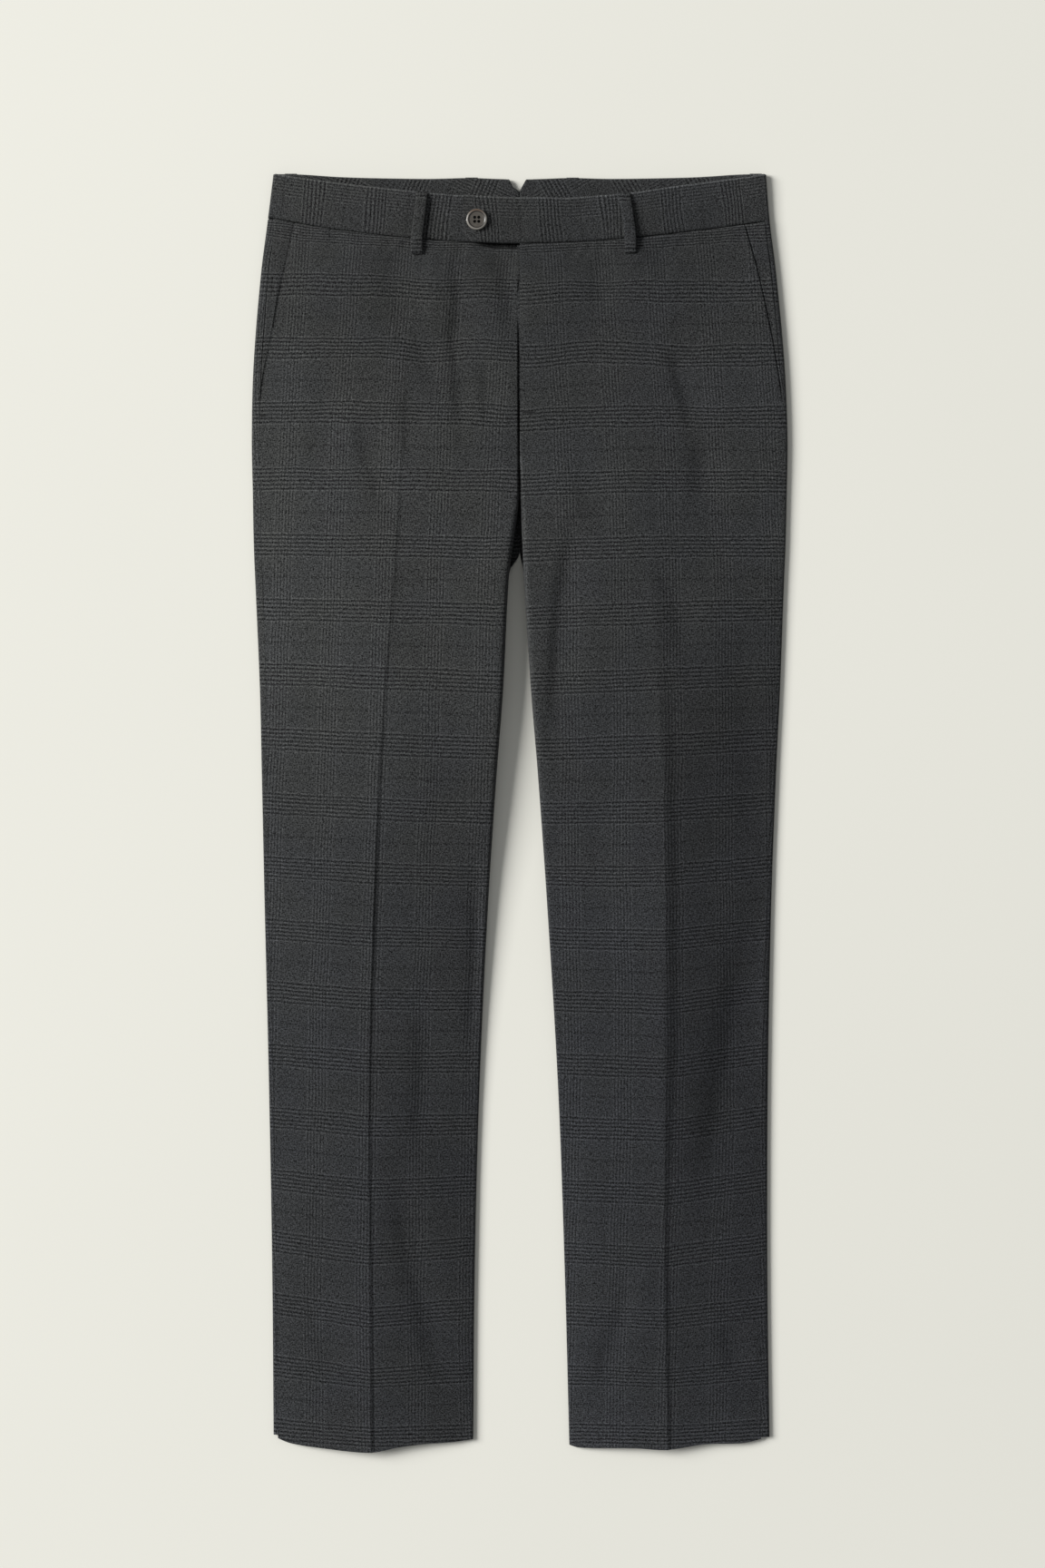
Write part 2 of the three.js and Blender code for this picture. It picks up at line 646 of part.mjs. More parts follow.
function bandTab(x) {
  const free = ease(0, TAB_LENGTH, -x);
  return bandColumn(frontTopY(x), tabLowY(x), (y) => [x, y, topZ(x, y) + FLY_RAISE + TAB_LIFT * free]);
}

// Round the side, the top and lower edges pass from the front's lines to the back's.
function bandSide(leg, turn) {
  const blend = ease(0, 1, turn);
  const topY = mix(frontTopY(SIDE_X), backTopY(SIDE_X), blend);
  const lowY = mix(frontSeamY(SIDE_X), backSeamY(SIDE_X), blend) + HALF_GAP;
  return bandColumn(topY, lowY, (y) => {
    const st = station(leg, y);
    const angle = mix(1, -1, turn) * Math.PI / 2;
    const d = st.outer - st.roll + st.roll * Math.cos(angle);
    return [SIDE[leg] * d, y, st.base + st.roll + st.roll * Math.sin(angle)];
  });
}

function bandBack(leg, d) {
  return bandColumn(backTopY(d), backSeamY(d) + HALF_GAP, (y) => [SIDE[leg] * d, y, baseZ(y)]);
}

const notchEnd = (leg, y) => readStraight(NOTCH[leg], 'y', 'end', y);

// The end at the centre back, between topY and lowY, with points at the notch's foot and just above it.
function endColumn(leg, topY, lowY) {
  const ys = [topY, NOTCH_FOOT_Y + 2, NOTCH_FOOT_Y, lowY];
  return ys.map((y) => [SIDE[leg] * notchEnd(leg, y), y, baseZ(y)]);
}

function waistband(leg) {
  const columns = [];
  if (leg === 'left') columns.push(...TAB_COLUMNS.map(bandTab));
  columns.push(...BAND_FRONT.map((d) => bandFront(leg, d)));
  for (let k = 0; k <= SIDE_TURN_STEPS; k += 1) columns.push(bandSide(leg, k / SIDE_TURN_STEPS));
  columns.push(...BAND_BACK.map((d) => bandBack(leg, d)));
  columns.push(endColumn(leg, BACK_TOP_Y, BACK_SEAM_Y + HALF_GAP));
  if (leg === 'right') columns[0] = bandFront(leg, HALF_GAP);
  return cloth(`waistband_${leg}`, wall(columns, -SIDE[leg], 0, BAND_WALL));
}

// The facing lies on the inner face of the back waistband.
function waistbandFacing(leg) {
  const distances = [195, 160, 120, 80, 40, 14];
  const columns = distances.map((d) => {
    const high = backTopY(d) - FACING_EDGE;
    const low = backSeamY(d) + FACING_LOW;
    return bandColumn(high, low, (y) => [SIDE[leg] * d, y, baseZ(y)]);
  });
  columns.push(endColumn(leg, BACK_TOP_Y - FACING_EDGE, BACK_SEAM_Y + FACING_LOW));
  return cloth(`waistband_facing_${leg}`, wall(columns, -SIDE[leg], -(BAND_WALL + GAP), FACING_WALL));
}

// ---- Belt loops --------------------------------------------------------------------------------------

const FRONT_LOOPS = [
  { leg: 'right', topX: -84.2, lowX: -88.6 },
  { leg: 'left', topX: 87.9, lowX: 94.0 },
];
const BACK_LOOPS = [
  { name: 'side', leg: 'right', x: -195 },
  { name: 'side', leg: 'left', x: 201 },
  { name: 'back', leg: 'right', x: -41 },
  { name: 'back', leg: 'left', x: 45 },
];

// A strip that arches over the waistband, seated at both ends.
function frontLoop({ leg, topX, lowX }) {
  const steps = 12;
  const grid = Array.from({ length: steps + 1 }, (unused, k) => {
    const t = k / steps;
    const x = mix(topX, lowX, t);
    const y = mix(frontTopY(topX) - 0.2, frontSeamY(lowX) - LOOP_DROP, t);
    const arch = LOOP_STAND * Math.min(1, ease(0, 0.16, t), 1 - ease(0.8, 1, t));
    const z = topZ(x, y) + GAP + LOOP_WALL + arch;
    return [-0.5, 0, 0.5].map((side) => [x + side * LOOP_WIDTH, y, z]);
  });
  return cloth(`belt_loop_front_${leg}`, wall(grid, 1, 0, LOOP_WALL));
}

// A strip under the back waistband; its top end folds up over the waistband's edge.
function backLoop({ name, leg, x }) {
  const edgeY = backTopY(x + Math.sign(x) * LOOP_WIDTH / 2) + 1.5 * GAP;
  const wrapZ = BAND_LIFT + BAND_WALL;
  const endY = BACK_SEAM_Y - LOOP_DROP;
  const outline = new THREE.Shape([
    new THREE.Vector2(endY, 0),
    new THREE.Vector2(edgeY + LOOP_WRAP, 0),
    new THREE.Vector2(edgeY + LOOP_WRAP, wrapZ),
    new THREE.Vector2(edgeY, wrapZ),
    new THREE.Vector2(edgeY, LOOP_WALL),
    new THREE.Vector2(LIFT_TO + GAP, LOOP_WALL),
    new THREE.Vector2(endY, LOOP_TIP),
  ]);
  const geometry = new THREE.ExtrudeGeometry(outline, { depth: LOOP_WIDTH, bevelEnabled: false });
  // The outline is drawn in (Y, Z), so its own X, Y and depth become the garment's Y, Z and X.
  const upright = new THREE.Matrix4().makeBasis(
    new THREE.Vector3(0, 1, 0),
    new THREE.Vector3(0, 0, 1),
    new THREE.Vector3(1, 0, 0),
  );
  geometry.applyMatrix4(upright).translate(x - LOOP_WIDTH / 2, 0, 0);
  return cloth(`belt_loop_${name}_${leg}`, geometry);
}

// ---- Button ------------------------------------------------------------------------------------------

const tabTopZ = topZ(BUTTON_X, BUTTON_Y) + FLY_RAISE + TAB_LIFT * ease(0, TAB_LENGTH, -BUTTON_X);
const shankZ = tabTopZ + GAP;
const buttonZ = shankZ + SHANK_HEIGHT + GAP;

function solidOf(wasm, geometry) {
  const plain = new THREE.BufferGeometry();
  plain.setAttribute('position', geometry.getAttribute('position'));
  if (geometry.index) plain.setIndex(geometry.index);
  const merged = mergeVertices(plain, 1e-4);
  return new wasm.Manifold(new wasm.Mesh({
    numProp: 3,
    vertProperties: new Float32Array(merged.getAttribute('position').array),
    triVerts: new Uint32Array(merged.index.array),
  }));
}

function geometryOf(solid) {
  const mesh = solid.getMesh();
  const geometry = new THREE.BufferGeometry();
  geometry.setAttribute('position', new THREE.Float32BufferAttribute(mesh.vertProperties, 3));
  geometry.setIndex(Array.from(mesh.triVerts));
  return geometry;
}

async function button() {
  const wasm = await Module();
  wasm.setup();
  const round = 0.8;
  const dishRadius = BUTTON_RADIUS - BUTTON_RIM;
  const profile = [
    [0, 0],
    [BUTTON_RADIUS - 1.6, 0],
    [BUTTON_RADIUS - 0.3, round],
    [BUTTON_RADIUS, BUTTON_THICK / 2],
    [BUTTON_RADIUS - 0.3, BUTTON_THICK - round],
    [BUTTON_RADIUS - 0.9, BUTTON_THICK],
    [dishRadius + 0.3, BUTTON_THICK],
    [dishRadius - 0.5, BUTTON_THICK - BUTTON_DISH],
    [0, BUTTON_THICK - BUTTON_DISH],
  ].map(([r, z]) => new THREE.Vector2(r, z));
  const lathe = new THREE.LatheGeometry(profile, 32).rotateX(Math.PI / 2);
  let solid = solidOf(wasm, lathe);
  for (const [across, up] of [[-1, -1], [-1, 1], [1, -1], [1, 1]]) {
    const bore = new THREE.CylinderGeometry(BUTTON_HOLE_RADIUS, BUTTON_HOLE_RADIUS, 3 * BUTTON_THICK, 12)
      .rotateX(Math.PI / 2)
      .translate(across * BUTTON_HOLE_PITCH / 2, up * BUTTON_HOLE_PITCH / 2, 0);
    solid = solid.subtract(solidOf(wasm, bore));
  }
  const mesh = named('button', geometryOf(solid), HORN, 0.35);
  mesh.position.set(BUTTON_X, BUTTON_Y, buttonZ);
  return mesh;
}

function buttonThread() {
  const geometry = new THREE.CylinderGeometry(SHANK_RADIUS, SHANK_RADIUS, SHANK_HEIGHT, 16);
  const mesh = named('button_thread', geometry.rotateX(Math.PI / 2), THREAD, 0.9);
  mesh.position.set(BUTTON_X, BUTTON_Y, shankZ + SHANK_HEIGHT / 2);
  return mesh;
}

// ---- The garment -------------------------------------------------------------------------------------

const chinos = new THREE.Group();
for (const leg of ['right', 'left']) {
  chinos.add(back(leg), front(leg), pocketFacing(leg), waistband(leg), waistbandFacing(leg));
}
chinos.add(flyUnderlap());
for (const loop of FRONT_LOOPS) chinos.add(frontLoop(loop));
for (const loop of BACK_LOOPS) chinos.add(backLoop(loop));
chinos.add(await button(), buttonThread());

export default chinos;
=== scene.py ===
"""Pressed check chinos laid flat, front side up.

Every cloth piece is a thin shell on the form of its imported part. The tables are in millimetres in the
part's own frame: +X is the wearer's left, +Y points to the waist and +Z up from the floor. Meshes are in
metres.
"""

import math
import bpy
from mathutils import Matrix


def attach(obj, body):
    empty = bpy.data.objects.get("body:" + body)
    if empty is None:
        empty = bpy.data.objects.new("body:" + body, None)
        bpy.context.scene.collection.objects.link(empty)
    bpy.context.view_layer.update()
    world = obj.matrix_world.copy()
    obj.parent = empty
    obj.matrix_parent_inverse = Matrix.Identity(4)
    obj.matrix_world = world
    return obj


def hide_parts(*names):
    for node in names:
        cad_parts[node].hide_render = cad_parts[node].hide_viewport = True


bl_info = {
    "name": "Pressed Check Chinos",
    "version": (1, 0, 0),
    "blender": (4, 5, 0),
    "location": "View3D > Sidebar > Chinos",
    "description": "Builds a pair of pressed glen check chinos, laid flat",
    "category": "Add Mesh",
}

import bmesh
import bpy
import numpy as np
from bpy.props import FloatProperty, FloatVectorProperty, PointerProperty

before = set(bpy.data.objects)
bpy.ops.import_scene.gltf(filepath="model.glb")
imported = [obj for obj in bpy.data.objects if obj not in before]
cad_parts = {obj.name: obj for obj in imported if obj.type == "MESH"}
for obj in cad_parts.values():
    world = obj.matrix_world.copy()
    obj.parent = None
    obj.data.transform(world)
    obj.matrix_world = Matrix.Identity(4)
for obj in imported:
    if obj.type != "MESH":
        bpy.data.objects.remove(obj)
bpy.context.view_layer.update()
MM = 0.001

# ---- Sizes of the form, in millimetres -----------------------------------------------

CLOTH = 1.2  # wall of the trouser cloth
BAND_WALL = 2.2  # wall of the waistband, cloth over stiffening
FACING_WALL = 1.0  # wall of the facing inside the waistband
LOOP_WALL = 1.6  # wall of a front belt loop, folded cloth
GAP = 0.3  # between pieces that lie on each other
HALF_GAP = 0.02  # the seams are drawn almost shut

CROTCH_Y = 270  # the legs part here
LIP_LENGTH = 16  # and their inner edges turn down over this length
FORK_TOP = 222  # the seat seam starts to part
FORK_LOW = 205  # and the inseams are whole from here down
INSEAM_ROLL = 2.8  # how far a leg's inner edge rounds over
INNER_DOME = 0.25  # how much rounder the inner side of a leg is
FRONT_FADE = 9  # the front's folds fade out over this width along its edges
BACK_FADE = 16  # and the back's over this one
HEM_REACH = 110  # the hem's slant fades out this far above it
WAIST_REACH = 90  # and the waist seam's dip this far below it

BAND_LIFT = 1.0  # the back waistband lies on its belt loops
LIFT_FROM = 465
LIFT_TO = 503
SEAM_Y = 482.6  # waist seam at the centre front
SEAM_RISE = 20.6  # its rise to the sides
SEAM_KICK = {"right": 3.0, "left": 0.3}  # and what it climbs more close to each side
FRONT_TOP_Y = 521.7  # top of the front waistband at the centre
FRONT_TOP_RISE = 22.0
BACK_TOP_Y = 539.5  # top of the back waistband at the centre
BACK_TOP_RISE = 3.9
BACK_SEAM_Y = 500.5  # seam under the back waistband
BACK_SEAM_RISE = 4.2
SIDE_X = 210  # where front and back waistband turn into each other

FLY_RAISE = 2.7  # the left front lies on the right one along the fly
FLY_WIDTH = 62  # and comes down to its own height over this width
FLY_UNDER = 3  # the right front reaches this far under it
FLY_END_Y = 300  # the fly's raise starts here
FLY_FULL_Y = 345  # and is whole here
FLY_TUCK_Y = 335  # the right front starts to run under the left one
TUCK_LENGTH = 25
UNDERLAP = {"from_x": -2, "to_x": 36, "top": 482, "low": 350, "corner": 16}

TAB_LENGTH = 48  # waistband extension past the centre
TAB_CORNER = 11.5  # its rounded lower corner
TAB_LIFT = 1.0  # how far its free end stands up
TAB_STEPS = 9
SLOT_DEPTH = 8.5  # how far the right front sinks below the tab's lower edge
FACING_EDGE = 0.8  # the facing stays this far below the waistband's top
FACING_LOW = 4  # and this far above the seam
NOTCH_FOOT_Y = 529.6  # lowest point of the notch in the back waistband

LOOP_WIDTH = 10.4
LOOP_STAND = 1.7  # how far a front loop stands off the waistband
LOOP_DROP = 11  # how far a back loop reaches below the seam
FRONT_LOOP_DROP = 13.6
BACK_LOOP_WALL = 0.54  # wall of a back loop, which is pressed flat
LOOP_FLOOR = 0.02  # height of a back loop's lying part
LOOP_TURN = 1.25  # and of the end of its turn round the waistband's top

BUTTON_X = -36.4
BUTTON_Y = 502.3
BUTTON_RADIUS = 8.85
BUTTON_THICK = 2.2
BUTTON_DISH = 0.8  # depth inside the rim
BUTTON_FACE = 6.5  # radius inside the rim
RIM_BEAD = 1.0  # rounding of the rim
HOLE_RADIUS = 1.35
HOLE_PITCH = 3.45
SHANK_HEIGHT = 0.35
SHANK_TURNS = 9
SHANK_COIL = 2.15  # radius of the shank's coil
SHANK_THREAD = 0.42  # radius of the thread it is wound from
SHANK_INSET = 0.14  # its first and last turns stay this far inside its height
TURN_STEPS = 24
STITCH_RADIUS = 0.2
STITCH_PITCH = 0.5
BUTTONHOLE = {"from_x": -31.0, "to_x": -19.6, "tack_x": -19.4, "below_button": 2.0, "pitch": 0.55}

POCKET_TOP_Y = 500  # the pocket facing's level top row, before it follows the seam
POCKET_END_Y = 348  # lower end of the pocket's mouth
POCKET_LOW_Y = 344
POCKET_ROWS = 60
POCKET_UNDER = 16  # the facing runs this far under the front
HEM_Y = -535  # level rows run to here, and are bent to the hem
FACING_SLANT = {"right": 66, "left": 60}  # degrees between the slanted cloth's weft and the waist
BACK_HEM_Y = {"right": -529, "left": -531}
SIDE = {"right": -1, "left": 1}


def table(columns, *rows):
    """A table with named columns, its rows sorted by the first one."""
    ordered = np.array(sorted(rows), float)
    return dict(zip(columns.split(), ordered.T))


# Plan of each leg, as distances from the centre line.
PLAN = {
    "right": table(
        "y outer crease inner",
        (543, 209.8, 88.0, 0), (505, 214.5, 90.0, 0), (460, 220.3, 92.7, 0), (382, 226.7, 97.3, 0),
        (320, 228.3, 101.1, 0), (270, 227.4, 103.8, 0), (228, 226.6, 106.1, 5.7), (197, 225.3, 107.8, 9.5),
        (105, 221.4, 115.2, 14.1), (35, 219.8, 119.6, 19.5), (-80, 217.3, 124.5, 27.1),
        (-234, 213.6, 128.6, 34.4), (-388, 210.9, 127.7, 38.4), (-543, 209.6, 126.6, 39.8),
    ),
    "left": table(
        "y outer crease inner",
        (543, 209.6, 89.5, 0), (505, 212.6, 91.3, 0), (460, 218.2, 93.9, 0), (382, 225.4, 98.3, 0),
        (320, 228.0, 102.1, 0), (270, 227.3, 105.6, 0), (228, 226.3, 108.1, 2.0), (197, 225.0, 110.1, 3.6),
        (105, 221.6, 116.4, 9.4), (35, 218.3, 120.6, 15.2), (-80, 214.1, 122.6, 23.4),
        (-234, 211.2, 122.3, 32.6), (-388, 210.8, 122.2, 38.2), (-543, 212.8, 125.4, 42.3),
    ),
}

# Heights of the top face at the side edge, on the crease and at the inner edge, and each leg's dome.
HEIGHTS = table(
    "y side crease inner right_dome left_dome",
    (543, 5.9, 15.6, 15.0, 2.0, 1.7), (460, 5.7, 17.0, 15.8, 2.0, 1.65), (320, 5.4, 18.5, 17.2, 2.0, 1.6),
    (270, 5.0, 19.5, 18.6, 1.9, 1.6), (197, 4.6, 20.4, 20.6, 1.7, 1.45), (105, 4.3, 19.4, 20.0, 1.5, 1.25),
    (35, 4.1, 17.8, 16.8, 1.4, 1.15), (-80, 4.0, 15.4, 9.8, 1.4, 1.05), (-234, 3.9, 13.4, 4.8, 1.4, 1.05),
    (-388, 3.8, 12.6, 4.0, 1.5, 1.1), (-543, 3.8, 10.8, 4.0, 1.5, 1.15),
)

# How far the side seam and the slanted pocket edge lie inside the outer edge.
SIDE_SEAM = {
    "right": table("y inset", (500, 6.6), (200, 6.4), (0, 4.2), (-543, 3.8)),
    "left": table("y inset", (500, 4.0), (200, 4.2), (-80, 5.2), (-543, 7.2)),
}
POCKET = {
    "right": table("y inset", (505, 24.6), (460, 20.4), (411, 15.2), (348, 6.8)),
    "left": table("y inset", (505, 23.4), (460, 16.4), (411, 10.4), (348, 4.2)),
}

# Lower edge of each front, by distance from the centre line.
HEM = {
    "right": table(
        "d y", (40, -532.8), (57, -535.0), (82, -536.3), (103, -538.9), (126.5, -543.2), (165, -540.2),
        (196, -535.8), (210, -530.0),
    ),
    "left": table(
        "d y", (42, -537.6), (51, -539.9), (97, -539.7), (125.4, -540.9), (158, -536.5), (189, -536.0),
        (205, -532.7), (213, -530.2),
    ),
}

# End of the back waistband at the centre notch.
NOTCH = {
    "right": table("y end", (NOTCH_FOOT_Y, HALF_GAP), (531.6, 5.4), (539.5, 9.2)),
    "left": table("y end", (NOTCH_FOOT_Y, HALF_GAP), (533, 1.9), (539.5, 5.6)),
}

# The pressed crease of each front: how sharp it is, how steeply and how widely it drops on its +X side.
PRESS = {
    "right": table(
        "y sharp drop width",
        (420, 0.0, 0.0, 4), (330, 0.15, 0.2, 5), (250, 0.4, 0.5, 4), (120, 0.45, 0.6, 3.2),
        (0, 0.6, 0.9, 3.0), (-80, 0.8, 1.5, 3.0), (-150, 0.7, 1.1, 3.0), (-300, 0.6, 0.8, 3.0),
        (-543, 0.7, 0.9, 3.4),
    ),
    "left": table(
        "y sharp drop width",
        (300, 0.0, 0.0, 12), (160, 0.2, 0.6, 13), (60, 0.5, 1.3, 13), (-60, 0.6, 2.0, 13),
        (-190, 0.6, 2.0, 13), (-300, 0.6, 1.1, 7), (-543, 0.6, 0.8, 3.6),
    ),
}

# Soft folds of the fronts: the line each follows, how far it spreads to -X and to +X, and its depth,
# negative for a ridge.
FOLDS = (
    (((-103, 488), (-104, 450), (-98, 405)), 15, 30, 2.3),
    (((-54, 480), (-52, 430), (-55, 400), (-51, 366), (-50, 310)), 6, 15, 2.0),
    (((-88, 404), (-80, 385), (-72, 362)), 8, 18, 1.6),
    (((-34, 388), (-28, 362), (-27, 330)), 6, 13, 1.4),
    (((-20, 484), (-14, 462), (-9, 440), (-7, 400)), 8, 9, 2.0),
    (((-132, 344), (-128, 300), (-116, 268), (-104, 250)), 8, 20, 1.9),
    (((-93, 364), (-95, 330), (-92, 296)), 7, 16, 1.2),
    (((-75, 476), (-73, 430), (-72, 385)), 9, 9, -0.7),
    (((-160, 380), (-166, 330), (-170, 290)), 12, 20, 0.9),
    (((129, 402), (134, 372), (143, 344), (147, 322)), 6, 15, 2.0),
    (((152, 318), (154, 290), (152, 262)), 8, 18, 1.9),
    (((67, 476), (68, 450), (66, 420)), 8, 16, 1.3),
    (((108, 478), (118, 470), (134, 462)), 10, 14, 1.4),
    (((46, 302), (60, 270), (74, 238)), 10, 20, 1.7),
    (((48, 252), (41, 220), (35, 180), (31, 120), (28, 60)), 6, 20, 2.7),
    (((124, 206), (133, 180), (141, 128)), 10, 18, 1.9),
    (((184, 178), (190, 110), (196, 30), (198, -50)), 18, 14, 1.3),
    (((197, -84), (190, -130), (179, -206), (170, -256), (158, -336)), 15, 24, 3.3),
    (((-82, -156), (-81, -220), (-85, -290)), 10, 21, 2.0),
    (((-92, 140), (-94, 60), (-97, -14)), 20, 26, -1.2),
    (((-103, -296), (-98, -350), (-89, -392), (-76, -440), (-66, -496)), 10, 18, 2.0),
    (((-38, -46), (-33, -110), (-37, -215)), 8, 12, 2.4),
    (((-178, -322), (-170, -350), (-158, -374)), 8, 14, 0.6),
    (((-190, -400), (-166, -440), (-150, -490)), 14, 24, 1.5),
    (((-176, 316), (-168, 306), (-160, 300)), 8, 12, 0.5),
    (((94, -396), (86, -430), (74, -466), (66, -500)), 9, 13, 1.7),
    (((112, -372), (104, -400), (96, -436)), 10, 10, -0.9),
    (((176, -430), (181, -458), (186, -480)), 9, 15, 1.5),
    (((-178, -24), (-168, -40), (-158, -52)), 6, 10, 0.6),
    (((-60, 60), (-66, 0), (-72, -70)), 12, 22, 0.6),
    (((70, 30), (64, -50), (72, -120)), 12, 22, 0.6),
    (((-12, 262), (-44, 244), (-86, 236)), 10, 12, 0.7),
    (((-24, 232), (-52, 206), (-84, 190)), 10, 12, 0.6),
)

# The same for the backs, where a fold can only stand up off the floor: depths are how far each one rises.
BACK_FOLDS = (
    (((-150, 440), (-120, 360), (-70, 300)), 14, 22, 1.6),
    (((-196, 330), (-186, 260), (-180, 190)), 10, 16, 1.1),
    (((-60, 262), (-96, 226), (-140, 210)), 14, 14, 1.9),
    (((-52, 170), (-70, 120), (-92, 40)), 10, 18, 1.3),
    (((-176, 60), (-160, -30), (-166, -120)), 12, 15, 0.9),
    (((-72, -60), (-86, -120), (-112, -160)), 14, 12, 1.5),
    (((-170, -260), (-150, -330), (-138, -420)), 12, 18, 1.2),
    (((-80, -390), (-92, -450), (-90, -505)), 9, 14, 0.8),
    (((40, 436), (58, 380), (62, 330)), 10, 18, 1.2),
    (((152, 420), (132, 350), (84, 292)), 20, 14, 1.8),
    (((188, 300), (192, 220), (184, 150)), 14, 10, 0.9),
    (((54, 250), (92, 216), (150, 204)), 14, 14, 1.7),
    (((150, 120), (142, 50), (160, -40)), 12, 18, 1.1),
    (((70, 20), (64, -50), (82, -110)), 10, 13, 1.4),
    (((176, -150), (168, -230), (150, -290)), 12, 16, 1.3),
    (((84, -300), (74, -380), (86, -470)), 12, 15, 1.0),
)

WEFT_BANDS = {
    "right": table(
        "y n", (482.3, -1), (447.0, 0), (226.1, 4), (3.0, 8), (-211.4, 12), (-428.0, 16), (-529.7, 18)
    ),
    "left": table(
        "y n", (481.9, -1), (443.0, 0), (225.4, 4), (1.4, 8), (-216.3, 12), (-429.6, 16), (-528.2, 18)
    ),
}
WEFT_REACH = 45  # how far below the waist seam its curve bends the bands, and what share of it they take
WEFT_SHARE = 0.6
# Where the bands sag: centre, half sizes, and by how much.
SAGS = ((-72, 418, 26, 62, 4.6), (150, 388, 48, 46, 3.2), (3, 385, 34, 90, 3.4))
WEFT_REPEAT = 54.1
WARP_REPEAT = 43.8

# How the bands slope away from the crease, to the outer and to the inner side, and how far the nearest
# warp group's centre lies outside the crease.
GRAIN = {
    "right": table(
        "y out inn warp", (470, 0, 0, 6.6), (366, 0.01, 0.0, 8), (200, 0.024, -0.017, 7.3),
        (60, 0.053, -0.035, 1.8), (-240, 0.08, 0.0, 0.2), (-420, 0.13, 0.07, 4.5), (-543, 0.05, 0.0, 3.5),
    ),
    "left": table(
        "y out inn warp", (470, 0, 0, 21.6), (338, 0.0, -0.015, 21.6), (231, 0.01, -0.031, 19.6),
        (177, 0.028, -0.046, 17.4), (123, 0.04, -0.041, 14.3), (69, 0.055, -0.035, 11.6),
        (-24, 0.09, -0.008, 8.0), (-92, 0.10, 0.02, 8.4), (-240, 0.14, 0.037, 9.5),
        (-400, 0.115, 0.035, 4.5), (-543, 0.03, 0.0, -1.5),
    ),
}

# Each of these waistband stretches has a weft band of the check at x = centre.
BAND_GRAIN = {"right": {"centre": -69.0, "repeat": 54.4}, "left": {"centre": -27.0, "repeat": 52.6}}

# The front loops' middles at the top, near the top, half way and at the foot.
FRONT_LOOPS = (
    {"leg": "right", "x": (-82.9, -84.4, -87.4, -87.3), "flare": 0.0},
    {"leg": "left", "x": (87.6, 91.0, 93.6, 94.0), "flare": 1.6},
)
BACK_LOOPS = (
    {"name": "side_right", "x": -195},
    {"name": "side_left", "x": 201},
    {"name": "back_right", "x": -41},
    {"name": "back_left", "x": 45},
)

# Small dips of the front's top edge, and the back's bumps where belt loops wrap it: middle, half width
# and size.
TOP_SAGS = ((84, 36, 1.9), (40, 16, 1.3))
LOOP_BUMPS = ((43, 22, 1.1), (188, 26, 1.2))

# Waves of unevenness: size, seed, longest and shortest wave, and how many waves are added up.
WIDE_WAVES = {"right": (0.32, 11, 190, 60, 7), "left": (0.32, 5, 190, 60, 7)}
SMALL_WAVES = (0.07, 23, 40, 16, 6)
PUCKER_WAVES = (2.2, 31, 60, 30, 3)
BACK_WAVES = (0.4, 61, 170, 70, 5)
BAND_WAVES = (0.30, 71, 120, 34, 6)
BAND_SMALL_WAVES = (0.06, 73, 18, 9, 4)
LOOP_WAVES = (0.12, 81, 14, 6, 4)
# The same for how far the check strays.
WEFT_WANDER = ((0.30, 41, 150, 50, 5), (0.20, 43, 30, 14, 4))
HIP_WANDER = (0.55, 45, 90, 36, 5)
WARP_WANDER = (0.5, 47, 160, 60, 5)
BAND_WANDER = (0.7, 75, 60, 24, 4)

# ---- Small maths ---------------------------------------------------------------------


def mix(a, b, t):
    """From a at t = 0 to b at t = 1."""
    return a + (b - a) * t


def ease(start, end, value):
    """0 at start and 1 at end, softly; end may lie below start."""
    t = np.clip((value - start) / (end - start), 0, 1)
    return t * t * (3 - 2 * t)


def read(rows, name, at):
    """Smooth curve through a table's column, read at an array of values of its first column."""
    keys = next(iter(rows.values()))
    values = rows[name]
    last = len(keys) - 1
    before = np.maximum(np.arange(last + 1) - 1, 0)
    after = np.minimum(np.arange(last + 1) + 1, last)
    slopes = (values[after] - values[before]) / (keys[after] - keys[before])
    at = np.asarray(at, float)
    i = np.clip(np.searchsorted(keys, at) - 1, 0, last - 1)
    step = keys[i + 1] - keys[i]
    t = np.clip((at - keys[i]) / step, 0, 1)
    beyond = at - np.clip(at, keys[0], keys[-1])
    curve = (
        (2 * t**3 - 3 * t**2 + 1) * values[i]
        + (t**3 - 2 * t**2 + t) * step * slopes[i]
        + (3 * t**2 - 2 * t**3) * values[i + 1]
        + (t**3 - t**2) * step * slopes[i + 1]
    )
    return curve, np.where(beyond < 0, slopes[0], slopes[-1]) * beyond


def curve(rows, name, at):
    """The table's curve, held level past its ends."""
    return read(rows, name, at)[0]


def line(rows, name, at):
    """The table's curve, going on straight past its ends."""
    inside, past = read(rows, name, at)
    return inside + past


def unit(vectors):
    """The vectors at length 1."""
    return vectors / np.maximum(np.linalg.norm(vectors, axis=-1, keepdims=True), 1e-9)


def away_from_line(points, x, y):
    """Distance to a line through points, below 0 on its -X side, and how far along it, from 0 to 1."""
    points = np.array(points, float)
    steps = np.linalg.norm(np.diff(points, axis=0), axis=1)
    best = np.full(np.shape(x), 1e9)
    along = np.zeros(np.shape(x))
    done = 0.0
    for (x0, y0), (x1, y1), step in zip(points[:-1], points[1:], steps):
        raw = ((x - x0) * (x1 - x0) + (y - y0) * (y1 - y0)) / step**2
        t = np.clip(raw, 0, 1)
        away = np.hypot(x - mix(x0, x1, t), y - mix(y0, y1, t))
        away = np.where(x < mix(x0, x1, t), -away, away)
        nearer = np.abs(away) < np.abs(best)
        best = np.where(nearer, away, best)
        along = np.where(nearer, (done + t * step) / steps.sum(), along)
        done += step
    return best, along


